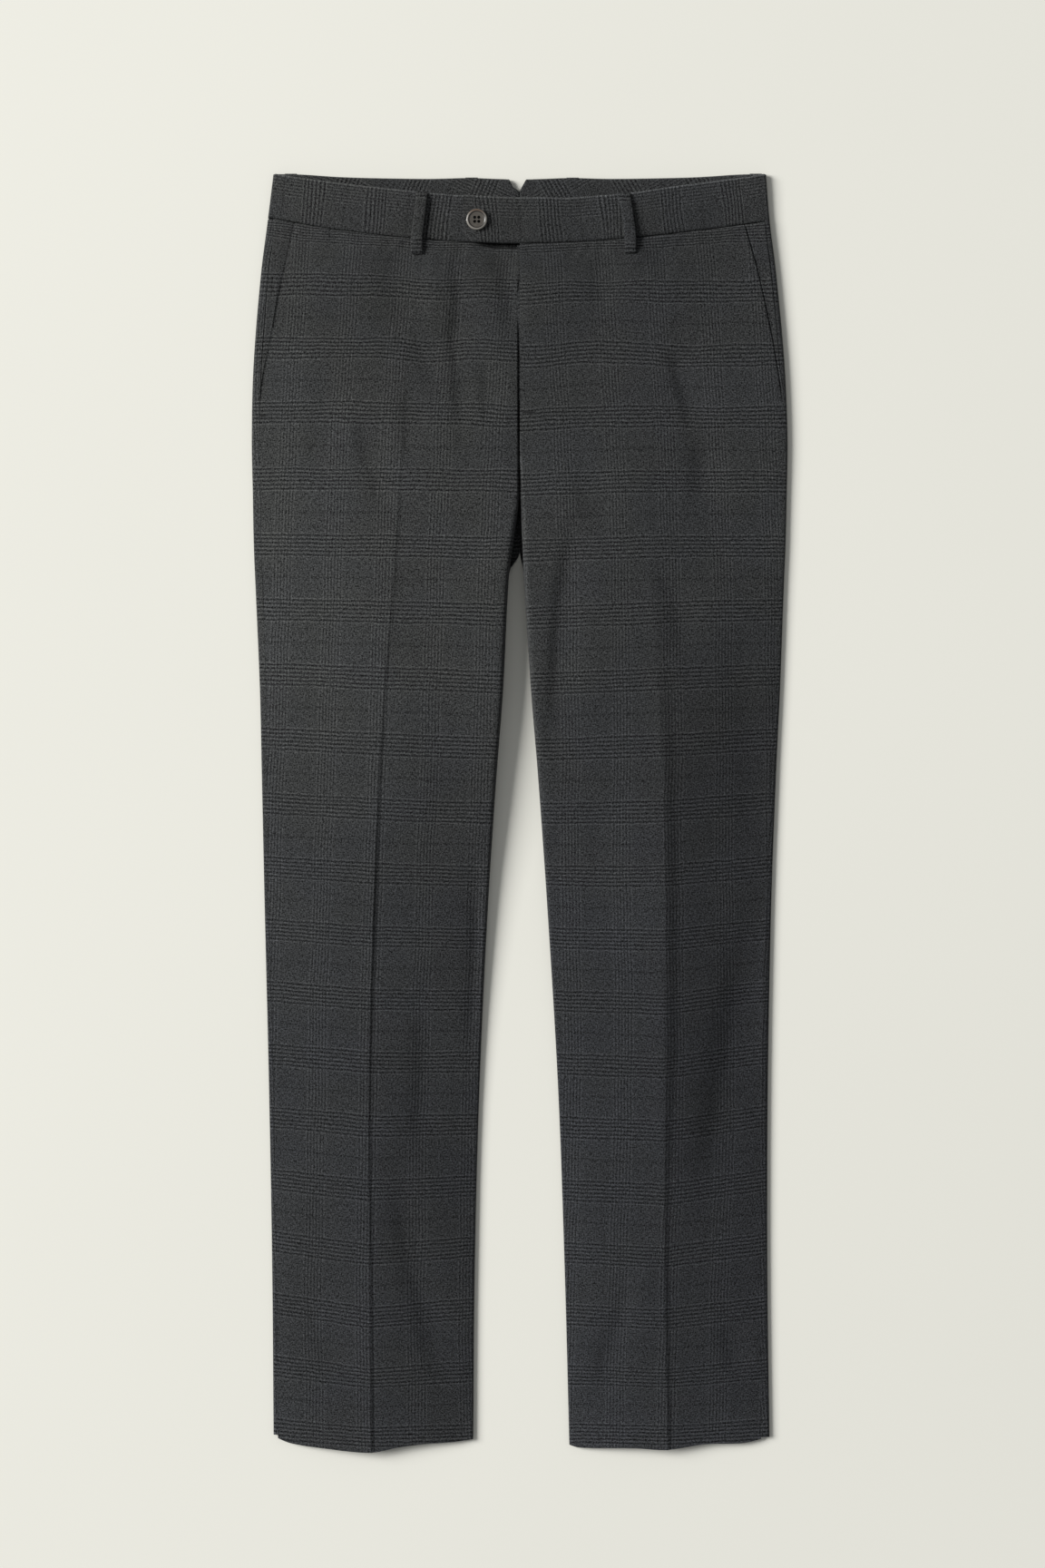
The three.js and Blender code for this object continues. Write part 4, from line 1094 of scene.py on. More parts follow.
def horn_material(look):
    """Polished horn: a browner face, a rim painted pale grey as a reflection of the lamps with a dark
    brown turn at its top, and painted shade in the groove inside the rim.
    """
    paint = Paint("polished_horn")
    across, high = paint.split(paint.place())
    x = across / MM - BUTTON_X
    y = high / MM - BUTTON_Y
    away = (x * x + y * y).maths("POWER", 0.5)
    grain = paint.noise(paint.vector(x * 0.35, y * 1.2), 1.0, 4.0, 0.6)
    fine = paint.noise(paint.vector(x, y), 2.6, 3.0)
    # The rim's pale grey is a painted reflection of the lamps; at its top the rim stays dark brown.
    rim = away.between(7.2, 7.5)
    # Painted shade: a near-black ring in the groove just inside the rim.
    groove_shade = away.between(6.2, 6.5) * (1 - rim)
    face = paint.blend(grain.between(0.35, 0.65), rgba(look.horn_dark), rgba(look.horn))
    ring = paint.blend(fine.between(0.5, 0.8), rgba(look.horn_rim_reflection), rgba(look.horn))
    brown = (y / BUTTON_RADIUS - 0.15).between(0.15, 0.8) * rim
    body = paint.blend(groove_shade * 0.92, paint.blend(rim * 0.9, face, ring), GROOVE_SHADE_COLOUR)
    paint.set(Base_Color=paint.blend(brown * 0.85, body, BROWN_HORN))
    paint.set(Normal=paint.raised(0.12, 0.0002, grain), Roughness=0.34 + fine * 0.12)
    paint.shader.inputs["Coat Weight"].default_value = 0.6
    paint.shader.inputs["Coat Roughness"].default_value = 0.12
    return paint.material


def thread_material(look):
    """Dark sewing thread with the fine slant of its plies."""
    paint = Paint("sewing_thread")
    place = paint.place()
    x, y = paint.split(place)
    ply = ((x + y) * (2 * math.pi / THREAD_PLY)).cosine()
    fuzz = paint.noise(place, 2600.0, 2.0)
    paint.set(Base_Color=paint.shaded(rgba(look.thread), (ply * 0.18 + 1.0) * (fuzz * 0.5 + 0.75)))
    paint.set(Normal=paint.raised(0.4, 0.0001, ply), Roughness=0.7 + fuzz * 0.15)
    return paint.material


def material_of(kind):
    """The scene's material of this kind, made the first time it is asked for."""
    found = bpy.data.materials.get(kind)
    if found:
        return found
    look = bpy.context.scene.chinos_look
    makers = {
        "trouser_cloth": lambda: cloth_material(kind, look),
        # The waistband's cloth has a painted highlight along its top fold.
        "waistband_cloth": lambda: cloth_material(kind, look, folded=True),
        "slanted_cloth": lambda: cloth_material(kind, look),
        "belt_loop_cloth": lambda: cloth_material(kind, look, tone=0.97),
        "polished_horn": lambda: horn_material(look),
        "sewing_thread": lambda: thread_material(look),
    }
    return makers[kind]()


# ---- Settings ------------------------------------------------------------------------


class ChinosSizes(bpy.types.PropertyGroup):
    """How the cloth is pressed and how it lies."""

    crease_ridge: FloatProperty(
        name="Crease ridge", description="Height of the pressed edge above the leg",
        default=0.0008, min=0.0, max=0.004, unit="LENGTH",
    )
    fold_strength: FloatProperty(
        name="Fold strength", description="Depth of the soft folds, as a share of their usual depth",
        default=1.0, min=0.0, max=2.0, subtype="FACTOR",
    )
    row_step: FloatProperty(
        name="Row step", description="Distance between the mesh's rows down a leg",
        default=0.0036, min=0.002, max=0.02, unit="LENGTH",
    )
    seam_dip: FloatProperty(
        name="Seam dip", description="How far cloth sinks into a seam",
        default=0.0009, min=0.0, max=0.003, unit="LENGTH",
    )


class ChinosLook(bpy.types.PropertyGroup):
    """Colours, check and finish."""

    ground: FloatVectorProperty(
        name="Ground", description="Mixed charcoal of the plain cloth",
        default=(0.0330, 0.0336, 0.0334), size=3, min=0, max=1, subtype="COLOR",
    )
    dark_yarn: FloatVectorProperty(
        name="Dark yarn", description="Dark lines of the check",
        default=(0.0318, 0.0324, 0.0330), size=3, min=0, max=1, subtype="COLOR",
    )
    pale_yarn: FloatVectorProperty(
        name="Pale yarn", description="Light lines of the check",
        default=(0.0344, 0.0348, 0.0343), size=3, min=0, max=1, subtype="COLOR",
    )
    horn: FloatVectorProperty(
        name="Horn", description="Face of the button",
        default=(0.082, 0.072, 0.060), size=3, min=0, max=1, subtype="COLOR",
    )
    horn_dark: FloatVectorProperty(
        name="Dark horn", description="Darker streaks in the button's face",
        default=(0.055, 0.047, 0.038), size=3, min=0, max=1, subtype="COLOR",
    )
    # A painted reflection of the lamps, laid on the button's rim as colour.
    horn_rim_reflection: FloatVectorProperty(
        name="Horn rim", description="Polished rim of the button",
        default=(0.21, 0.197, 0.175), size=3, min=0, max=1, subtype="COLOR",
    )
    thread: FloatVectorProperty(
        name="Thread", description="Sewing thread",
        default=(0.013, 0.013, 0.014), size=3, min=0, max=1, subtype="COLOR",
    )
    weft_pitch: FloatProperty(
        name="Weft line pitch", description="Distance between dark lines across the leg",
        default=0.00326, min=0.001, max=0.01, unit="LENGTH",
    )
    warp_pitch: FloatProperty(
        name="Warp line pitch", description="Distance between dark lines down the leg",
        default=0.00272, min=0.001, max=0.01, unit="LENGTH",
    )
    check_strength: FloatProperty(
        name="Check strength", description="Contrast of the check", default=1.0, min=0, max=3,
    )
    mottle_strength: FloatProperty(
        name="Mottle strength", description="Contrast of the mixed fibres", default=1.0, min=0, max=3,
    )
    nap: FloatProperty(
        name="Nap", description="Height of the raised yarns",
        default=0.00028, min=0, max=0.002, unit="LENGTH",
    )
    sheen: FloatProperty(
        name="Sheen", description="Soft sheen of the brushed wool",
        default=0.04, min=0, max=1, subtype="FACTOR",
    )


class ChinosStage(bpy.types.PropertyGroup):
    """Floor, light and camera."""

    floor: FloatVectorProperty(
        name="Floor", description="Colour of the pale floor",
        default=(0.80, 0.788, 0.722), size=3, min=0, max=1, subtype="COLOR",
    )
    key: FloatProperty(
        name="Key light", description="Power of the window-like light", default=3900.0, min=0,
    )
    sky: FloatProperty(name="Sky light", description="Strength of the even light", default=0.28, min=0)
    framed: FloatProperty(
        name="Framed height", description="Height of floor that the picture takes in",
        default=1.3306, min=0.2, unit="LENGTH",
    )
    camera_height: FloatProperty(
        name="Camera height", description="Height of the camera above the cloth",
        default=3.0, min=0.5, unit="LENGTH",
    )


# ---- Legs ----------------------------------------------------------------------------


def rows_between(top, low, step):
    """Even heights from top to low, about a step apart."""
    return np.linspace(top, low, max(3, round((top - low) / step) + 1))


FINE_ROWS = {"height": 12, "step": 0.75}  # finer rows just below the waist seam
# The front's low ridge below the waist seam: how far below it, its half width and its height.
SEAM_RIDGE = {"below": 2.8, "half": 1.3, "size": 0.35}
SEAM_DIP_SHARE = 1.7  # of the usual seam dip, at the waist seam
EDGE_DIP_SHARE = 0.12  # and along the outer edge
HEM_SINK = {"size": 0.5, "height": 26}
# The backs stand up off the floor on both sides of the crease, over a width, and less near the seam.
BACK_ROOM = {"size": 0.9, "width": 7, "usual": 0.6, "below_seam": 60}
BACK_ROW_SHARE = 1.25  # the backs' rows may be this much wider apart


class ChinosFronts(bpy.types.Operator):
    """Build the two front panels, with their pressed creases and soft folds"""

    bl_idname = "chinos.fronts"
    bl_label = "Fronts"

    def execute(self, context):
        sizes = context.scene.chinos_sizes
        for leg in SIDE:
            sheet = front_sheet(leg)
            fine_end = SEAM_Y - FINE_ROWS["height"]
            fine = rows_between(SEAM_Y, fine_end, FINE_ROWS["step"])
            rows = np.concatenate([fine[:-1], rows_between(fine_end, HEM_Y, sizes.row_step / MM)])
            d, y, z, s = leg_grid(
                sheet,
                rows,
                lambda d: front_seam_y(SIDE[leg] * d) - HALF_GAP,
                lambda d: curve(HEM[leg], "y", d),
            )
            x = SIDE[leg] * d
            st = Station(leg, y)
            # Where the legs have parted, the folds also fade out towards the inner edge.
            inner = d - st.end * st.parted + FRONT_FADE * (1 - st.parted)
            flat = ease(-1, FRONT_FADE, st.start - d) * ease(-1, FRONT_FADE, inner)
            lift = relief(leg, d, y, sizes.fold_strength, sizes.crease_ridge / MM) * flat
            dip = sizes.seam_dip / MM
            below = front_seam_y(x) - y
            lift -= dip * (EDGE_DIP_SHARE * np.exp(s - s[:, :1]) + SEAM_DIP_SHARE * np.exp(-below))
            lift += SEAM_RIDGE["size"] * bell(below, SEAM_RIDGE["below"], SEAM_RIDGE["half"])
            above_hem = y - curve(HEM[leg], "y", d)
            lift -= HEM_SINK["size"] * (1 - ease(0, HEM_SINK["height"], above_hem)) * flat
            lift -= crotch_dip(d, y)
            if leg == "left":
                lift += fly_raise(x, y)
            else:
                lift -= under_tab(x, y) + under_fly(d, y)
            grid = np.stack([x, y, z + lift], -1)
            u, v = leg_weave(leg, d, y, s)
            weave = weave_at(u, v, 0 if leg == "right" else 1)
            cloth = material_of("trouser_cloth")
            piece = shell(f"{leg}_front", grid, weave, -SIDE[leg], CLOTH, cloth, rim=0.01)
            declare(piece, f"front_{leg}")
        return {"FINISHED"}


class ChinosBacks(bpy.types.Operator):
    """Build the two back panels, which wrap up round the sides"""

    bl_idname = "chinos.backs"
    bl_label = "Backs"

    def execute(self, context):
        sizes = context.scene.chinos_sizes
        for leg in SIDE:
            sheet = back_sheet(leg)
            rows = rows_between(BACK_SEAM_Y, BACK_HEM_Y[leg], BACK_ROW_SHARE * sizes.row_step / MM)
            d, y, z, s = leg_grid(
                sheet, rows, lambda d: back_seam_y(d) - HALF_GAP, lambda d: BACK_HEM_Y[leg] + 0 * d
            )
            x = SIDE[leg] * d
            st = Station(leg, y)
            inner = d - (st.inner + st.inner_roll) * st.fork
            floor = ease(0, BACK_FADE, st.start - d) * ease(0, BACK_FADE, inner)
            beside = 1 - np.exp(-np.abs(d - st.crease) / BACK_ROOM["width"])
            hollow = BACK_ROOM["size"] * beside * (BACK_ROOM["usual"] + ripples(x, y, BACK_WAVES))
            hollow = np.maximum(0, hollow) + sizes.fold_strength * fold_depth(x, y, BACK_FOLDS)
            lift = hollow * floor * ease(0, BACK_ROOM["below_seam"], BACK_SEAM_Y - y)
            grid = np.stack([x, y, z + lift], -1)
            u, v = leg_weave(leg, d, y, s)
            weave = weave_at(u, v, 2 if leg == "right" else 3)
            cloth = material_of("trouser_cloth")
            piece = shell(f"{leg}_back", grid, weave, SIDE[leg], CLOTH, cloth, rim=0.01)
            declare(piece, f"back_{leg}")
        return {"FINISHED"}


class ChinosPocketFacings(bpy.types.Operator):
    """Build the cloth that shows behind the slanted pocket edges"""

    bl_idname = "chinos.pocket_facings"
    bl_label = "Pocket facings"

    def execute(self, context):
        for leg in SIDE:
            y = np.linspace(POCKET_TOP_Y, POCKET_LOW_Y, POCKET_ROWS)[:, None]
            mouth = inset_of(leg, np.maximum(y, POCKET_END_Y + 0.1), pocket=True)
            seam = inset_of(leg, y, pocket=False)
            st = Station(leg, y)
            d, z = over_line(st)
            s = lengths(d, z)
            first = length_inside(st, d, s, seam) + HALF_GAP
            edge = length_inside(st, d, s, mouth)
            last = length_inside(st, d, s, mouth + POCKET_UNDER)
            columns = spread(np.hstack([first, edge, last]), POCKET_COUNTS, POCKET_POWERS)
            d, z, s = sample(d, z, s, columns, s[:, CREASE_COLUMN, None])
            x = SIDE[leg] * d
            to_seam = front_seam_y(x) - HALF_GAP - POCKET_TOP_Y
            bent = y + ease(POCKET_TOP_Y - 22, POCKET_TOP_Y, y) * to_seam
            inside = s[:, :1] - s
            rise_up = self.height(leg, bent, inside, mouth - seam - inside)
            rise_up -= 0.4 * np.exp(-(front_seam_y(x) - bent) / 1.8)
            rise_up *= ease(POCKET_END_Y, POCKET_END_Y + 7, y)
            grid = np.stack([x, bent, z + rise_up], -1)
            u, v = leg_weave(leg, d, bent, s)
            weave = weave_at(u + 9, v, 4 if leg == "right" else 5)
            cloth = material_of("trouser_cloth")
            below_front = -(CLOTH + GAP)
            piece = shell(f"{leg}_pocket_facing", grid, weave, -SIDE[leg], CLOTH, cloth, below_front)
            declare(piece, f"pocket_facing_{leg}")
        return {"FINISHED"}

    @staticmethod
    def height(leg, y, inside, outside):
        """How far the facing bulges up into the mouth, between the side seam and the mouth's edge."""
        # The right pocket's mouth faces the light and stands open near the waist.
        lit = 1.0 if leg == "right" else 0.0
        upper = 1 - lit + lit * ease(395, 455, y)
        reach = 1.7 + 8.0 * lit * ease(420, 485, y)
        bulge = 0.2 * ease(-4, 0, outside) + 0.475 * (1 + upper) * ease(0.3, reach, outside)
        beside_edge = 0.55 * lit * upper * bell(outside, 0.3, 0.7)
        beside_seam = 0.35 * (1 - ease(1.0, 5.0, inside)) * ease(0.3, 1.7, outside)
        return bulge - beside_edge + beside_seam


class ChinosFlyUnderlap(bpy.types.Operator):
    """Build the underlap behind the fly"""

    bl_idname = "chinos.fly_underlap"
    bl_label = "Fly underlap"

    def execute(self, context):
        u = UNDERLAP
        rows, columns = 66, 24
        x = np.linspace(u["from_x"], u["to_x"], columns)[None, :].repeat(rows, 0)
        t = np.linspace(0, 1, rows)[:, None]
        inside = np.clip(u["corner"] - (u["to_x"] - x), 0, u["corner"])
        round_off = u["corner"] - np.sqrt(np.maximum(0, u["corner"] ** 2 - inside**2))
        y = mix(u["top"], u["low"] + round_off, t)
        z = np.where(x < 0, Station("right", y).top(-x), Station("left", y).top(x))
        grid = np.stack([x, y, z - 0.1], -1)
        weave = weave_at(x, -y, 6)
        cloth = material_of("trouser_cloth")
        below_front = -(CLOTH + GAP)
        piece = shell("fly_underlap_cloth", grid, weave, 1, CLOTH, cloth, below_front)
        declare(piece, "fly_underlap")
        return {"FINISHED"}


# ---- Waistband -----------------------------------------------------------------------

BAND_LINES = 18
SIDE_TURNS = 14
FLAT_END = 198  # the front and the back run flat to here, and turn round the side beyond
BACK_END = {"band": 12, "facing": 14}  # and at the centre back they are drawn in to the notch from here
FACING_MIDDLE = (31, 530)


def tab_low_y(x):
    """Lower edge of the tab, rounded at its free end."""
    inside = np.clip((-TAB_LENGTH + TAB_CORNER - x) / TAB_CORNER, 0, 1)
    return front_seam_y(x) + HALF_GAP + TAB_CORNER * (1 - np.sqrt(1 - inside**2))


def tab_height(x, y):
    """Height of the tab's outer face over the right front."""
    return Station("right", y).top(-x) + FLY_RAISE + TAB_LIFT * ease(0, TAB_LENGTH, -x)


def column(x, y, z):
    """Points one above the other at x."""
    return np.stack([x + 0 * y, y, z], -1)


def band_columns(leg):
    """The waistband's outer face, column by column, from its front end round the side to the back."""
    side = SIDE[leg]
    t = np.linspace(0, 1, BAND_LINES)
    columns = []
    if leg == "left":
        ends = TAB_LENGTH - TAB_CORNER * (1 - np.cos(np.linspace(0, math.pi / 2, TAB_STEPS)))
        for x in [*-ends, *np.linspace(-TAB_LENGTH + TAB_CORNER, 0, 14)[1:-1]]:
            y = mix(front_top_y(x), tab_low_y(x), t)
            columns.append(column(x, y, tab_height(x, y)))
    first = 0.0 if leg == "left" else HALF_GAP
    for d in np.linspace(first, FLAT_END, 68):
        y = mix(front_top_y(side * d), front_seam_y(side * d) + HALF_GAP, t)
        raised = fly_raise(d, y) if leg == "left" else 0
        columns.append(column(side * d, y, Station(leg, y).top(d) + raised))
    for turn in np.linspace(0, 1, SIDE_TURNS):
        blend = ease(0, 1, turn)
        high = mix(front_top_y(side * SIDE_X), back_top_y(SIDE_X), blend)
        low = mix(front_seam_y(side * SIDE_X), back_seam_y(SIDE_X), blend) + HALF_GAP
        y = mix(high, low, t)
        st = Station(leg, y)
        angle = mix(1, -1, turn) * math.pi / 2
        d = st.start + st.roll * math.cos(angle)
        columns.append(column(side * d, y, st.base + st.roll + st.roll * math.sin(angle)))
    for d in np.linspace(FLAT_END, BACK_END["band"], 60):
        y = mix(back_top_y(d), back_seam_y(d) + HALF_GAP, t)
        columns.append(column(side * d, y, base_z(y)))
    columns.extend(notch_columns(leg, BACK_TOP_Y, BACK_SEAM_Y + HALF_GAP, t, BACK_END["band"]))
    return np.array(columns)


def notch_columns(leg, high, low, t, start):
    """The last columns at the centre back, drawn in to the slanted end of the notch."""
    y = mix(high, low, t)
    end = np.where(y < NOTCH_FOOT_Y, HALF_GAP, np.interp(y, NOTCH[leg]["y"], NOTCH[leg]["end"]))
    return [column(SIDE[leg] * mix(start, end, k), y, base_z(y)) for k in np.linspace(0, 1, 6)[1:]]


class ChinosWaistband(bpy.types.Operator):
    """Build the waistband's two halves, the left one with its buttoned tab"""

    bl_idname = "chinos.waistband"
    bl_label = "Waistband"

    def execute(self, context):
        sizes = context.scene.chinos_sizes
        dip = sizes.seam_dip / MM
        for leg in SIDE:
            grid = band_columns(leg)
            around = run_of(grid[:, BAND_LINES // 2])
            x, y = grid[..., 0], grid[..., 1]
            zero = np.interp(0.0, x[:40, 0] * SIDE[leg], around[:40]) if leg == "left" else 0.0
            along = (around - zero)[:, None] * SIDE[leg] + 0 * x
            top_side = ease(2.0, 7.0, grid[..., 2] - base_z(y))
            wave = ripples(x, y, BAND_WAVES) + ripples(x, y, BAND_SMALL_WAVES)
            seam = np.exp(-(y - y[:, -1:]) / 1.8)
            grid[..., 2] += (wave * (1 - seam) - dip * seam) * top_side
            grain = BAND_GRAIN[leg]
            lean = 0.10 * (y - 503) * SIDE[leg]
            v = (along - grain["centre"] + lean) * WEFT_REPEAT / grain["repeat"]
            v += ripples(x, y, BAND_WANDER)
            down = np.linalg.norm(grid - grid[:, :1], axis=-1)
            weave = weave_at(down - 9, v, 12 if leg == "right" else 18)
            cloth = material_of("waistband_cloth")
            piece = shell(f"{leg}_waistband", grid, weave, -SIDE[leg], BAND_WALL, cloth, rim=0.3)
            declare(piece, f"waistband_{leg}")
        return {"FINISHED"}


class ChinosWaistbandFacings(bpy.types.Operator):
    """Build the slant-cut facings inside the back waistband"""

    bl_idname = "chinos.waistband_facings"
    bl_label = "Waistband facings"

    def execute(self, context):
        for leg in SIDE:
            t = np.linspace(0, 1, BAND_LINES)
            columns = []
            for d in np.linspace(195, BACK_END["facing"], 70):
                y = mix(back_top_y(d) - FACING_EDGE, back_seam_y(d) + FACING_LOW, t)
                columns.append(column(SIDE[leg] * d, y, base_z(y)))
            high, low = BACK_TOP_Y - FACING_EDGE, BACK_SEAM_Y + FACING_LOW
            columns.extend(notch_columns(leg, high, low, t, BACK_END["facing"]))
            grid = np.array(columns)
            slant = math.radians(FACING_SLANT[leg])
            from_x = grid[..., 0] - SIDE[leg] * FACING_MIDDLE[0]
            from_y = grid[..., 1] - FACING_MIDDLE[1]
            u = from_y * math.sin(slant) - SIDE[leg] * from_x * math.cos(slant)
            v = from_x * math.sin(slant) + SIDE[leg] * from_y * math.cos(slant)
            weave = weave_at(u, v, 9 if leg == "right" else 10)
            cloth = material_of("slanted_cloth")
            inside = -(BAND_WALL + GAP)
            piece = shell(
                f"{leg}_waistband_facing", grid, weave, -SIDE[leg], FACING_WALL, cloth, inside
            )
            declare(piece, f"waistband_facing_{leg}")
        return {"FINISHED"}


# ---- Belt loops ----------------------------------------------------------------------


def loop_strip(x, y, z, width):
    """Points across a strip along its centre line."""
    across = np.linspace(-0.5, 0.5, 15)
    sides = x[:, None] + across * width[:, None]
    return np.stack([sides, y[:, None] + 0 * sides, z[:, None] + 0 * sides], -1)


class ChinosBeltLoops(bpy.types.Operator):
    """Build the six belt loops"""

    bl_idname = "chinos.belt_loops"
    bl_label = "Belt loops"

    def execute(self, context):
        for number, loop in enumerate(FRONT_LOOPS):
            leg = loop["leg"]
            t = np.linspace(0, 1, 72)
            x = np.interp(t, (0, 0.3, 0.72, 1), loop["x"])
            y = mix(front_top_y(loop["x"][0]) + 0.3, front_seam_y(loop["x"][3]) - FRONT_LOOP_DROP, t)
            # The loop arches off the waistband, most in its upper half, and turns in at its foot.
            arch = LOOP_STAND * ease(0, 0.16, t) * (1 - 0.85 * ease(0.86, 0.985, t))
            stand = arch + 0.8 * ease(0.2, 0.5, t) * ease(1, 0.7, t) - 1.5 * ease(0.975, 1.0, t)
            z = Station(leg, y).top(SIDE[leg] * x) + GAP + LOOP_WALL + stand
            width = LOOP_WIDTH + loop["flare"] * (1 - ease(0, 0.3, t)) - 0.5 * ease(0.955, 1.0, t)
            grid = loop_strip(x, y, z, width)
            # Its long edges are rolled down, and small puckers cross its top.
            edge = np.abs(np.linspace(-1, 1, grid.shape[1]))
            puckers = 0.30 * np.sin(t * 44) * (1 - ease(0.1, 0.36, t))
            grid[..., 2] += puckers[:, None] - 0.75 * edge**4
            grid[..., 2] += ripples(grid[..., 0], grid[..., 1], LOOP_WAVES)
            v = grid[..., 1] - y[0] - (1.6 if leg == "left" else 4)
            weave = weave_at(grid[..., 0] + 20, v, 15 + number)
            piece = shell(f"front_loop_{leg}", grid, weave, 1, LOOP_WALL, material_of("belt_loop_cloth"))
            declare(
                piece, f"belt_loop_front_{leg}"
            )
        for number, loop in enumerate(BACK_LOOPS):
            y, z = self.back_path(abs(loop["x"]))
            grid = loop_strip(loop["x"] + 0 * y, y, z, LOOP_WIDTH + 0 * y)
            along = run_of(np.column_stack([y, z]))[:, None] + 60 * number
            u = grid[..., 0] - loop["x"] + 20
            weave = weave_at(u, along + 0 * u, 17)
            cloth = material_of("belt_loop_cloth")
            piece = shell(f"{loop['name']}_loop", grid, weave, 1, BACK_LOOP_WALL, cloth)
            node_name = "belt_loop_" + loop["name"]
            declare(piece, node_name)
        return {"FINISHED"}

    @staticmethod
    def back_path(d):
        """A back loop lies on the floor under the waistband, and turns up round its top edge."""
        edge_y = float(back_top_y(d + LOOP_WIDTH / 2))
        turn_y = edge_y - 1.2
        floor_y = np.linspace(BACK_SEAM_Y - LOOP_DROP, turn_y, 40)
        turn = np.linspace(0, math.pi / 2, 8)[1:]
        up_z = np.linspace(LOOP_TURN, BAND_LIFT + BAND_WALL - 0.5, 6)[1:]
        y = np.concatenate([floor_y, turn_y + 1.5 * np.sin(turn), 0 * up_z + edge_y + 0.3])
        turn_z = LOOP_TURN - (LOOP_TURN - LOOP_FLOOR) * np.cos(turn)
        return y, np.concatenate([0 * floor_y + LOOP_FLOOR, turn_z, up_z])


# ---- Button --------------------------------------------------------------------------


def button_base_z():
    """Heights of the shank's foot and of the button's underside."""
    y = np.array(BUTTON_Y)
    tab = float(tab_height(BUTTON_X, y))
    return tab + GAP, tab + GAP + SHANK_HEIGHT + GAP


def ring_faces(rings, sides, outward):
    """Faces of a closed row of rings of points; outward says which way round they are numbered."""
    faces = []
    for r in range(rings - 1):
        for k in range(sides):
            a, b = r * sides + k, r * sides + (k + 1) % sides
            c, d = b + sides, a + sides
            faces.append((a, b, c, d) if outward else (a, d, c, b))
    first = tuple(range(sides))
    last = tuple((rings - 1) * sides + k for k in range(sides))
    faces.extend([first[::-1], last] if outward else [first, last[::-1]])
    return faces


def lathe(name, profile, segments, centre):
    """A closed turned solid from its profile of (radius, height), in millimetres."""
    radius, height = np.array(profile)[:, :, None].transpose(1, 0, 2)
    turn = 2 * math.pi * np.arange(segments) / segments
    points = np.stack([radius * np.cos(turn), radius * np.sin(turn), height + 0 * turn], -1)
    vertices = points.reshape(-1, 3) + centre
    return build_mesh(name, vertices, ring_faces(len(profile), segments, True))


def arc(middle, size, start, end, count):
    """Points on an arc in a profile."""
    turn = np.linspace(start, end, count)
    return [(middle[0] + size[0] * math.cos(a), middle[1] + size[1] * math.sin(a)) for a in turn]


def button_profile():
    """From the middle of the underside, over the rounded rim, to the middle of the dished face."""
    foot = [(0.9, 0), (BUTTON_FACE, 0), (BUTTON_RADIUS - 0.9, 0.25), (BUTTON_RADIUS - 0.15, 1.1)]
    rim = (BUTTON_RADIUS - RIM_BEAD, BUTTON_THICK - RIM_BEAD)
    bead = arc(rim, (RIM_BEAD, RIM_BEAD), -0.2, math.pi / 2, 10)
    lip = (BUTTON_RADIUS - 1.35, BUTTON_THICK - 0.5)
    inner = arc(lip, (0.65, 0.5), math.pi / 2, math.pi, 6)
    face = BUTTON_THICK - BUTTON_DISH
    dish = [(r, face + 0.10 * (r / 6.6) ** 2) for r in (BUTTON_FACE, 5.6, 4.4, 3.2, 2.0, 0.9)]
    return [*foot, *bead, *inner, *dish]


class ChinosButton(bpy.types.Operator):
    """Build the horn button and its thread shank"""

    bl_idname = "chinos.button"
    bl_label = "Button"

    def execute(self, context):
        shank_z, button_z = button_base_z()
        mesh = lathe("button_disc", button_profile(), 72, (BUTTON_X, BUTTON_Y, button_z))
        disc = new_object("horn_button", mesh, material_of("polished_horn"))
        cutter_mesh = bpy.data.meshes.new("holes")
        cutter = bpy.data.objects.new("holes", cutter_mesh)
        context.scene.collection.objects.link(cutter)
        shape = bmesh.new()
        for across, up in ((-1, -1), (-1, 1), (1, -1), (1, 1)):
            made = bmesh.ops.create_cone(
                shape, cap_ends=True, segments=24, radius1=HOLE_RADIUS * MM, radius2=HOLE_RADIUS * MM,
                depth=4 * BUTTON_THICK * MM,
            )
            move = (
                (BUTTON_X + across * HOLE_PITCH / 2) * MM,
                (BUTTON_Y + up * HOLE_PITCH / 2) * MM,
                button_z * MM,
            )
            bmesh.ops.translate(shape, verts=made["verts"], vec=move)
        shape.to_mesh(cutter_mesh)
        shape.free()
        cut = disc.modifiers.new("holes", "BOOLEAN")
        cut.object = cutter
        cut.solver = "EXACT"
        graph = context.evaluated_depsgraph_get()
        holed = bpy.data.meshes.new_from_object(disc.evaluated_get(graph))
        disc.modifiers.clear()
        disc.data = holed
        bpy.data.objects.remove(cutter)
        holed.polygons.foreach_set("use_smooth", [True] * len(holed.polygons))
        holed.set_sharp_from_angle(angle=SHARP_HORN)
        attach(disc, "root")
        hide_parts("button")
        k = np.arange(SHANK_TURNS * TURN_STEPS + 1)
        angle = 2 * math.pi * k / TURN_STEPS
        climb = (SHANK_HEIGHT - 2 * SHANK_INSET) * k / k[-1]
        x = BUTTON_X + SHANK_COIL * np.cos(angle)
        y = BUTTON_Y + SHANK_COIL * np.sin(angle)
        wraps = np.stack([x, y, shank_z + SHANK_INSET + climb], -1)
        shank = tube("thread_shank", wraps, SHANK_THREAD, 8, material_of("sewing_thread"))
        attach(shank, "root")
        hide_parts("button_thread")
        return {"FINISHED"}


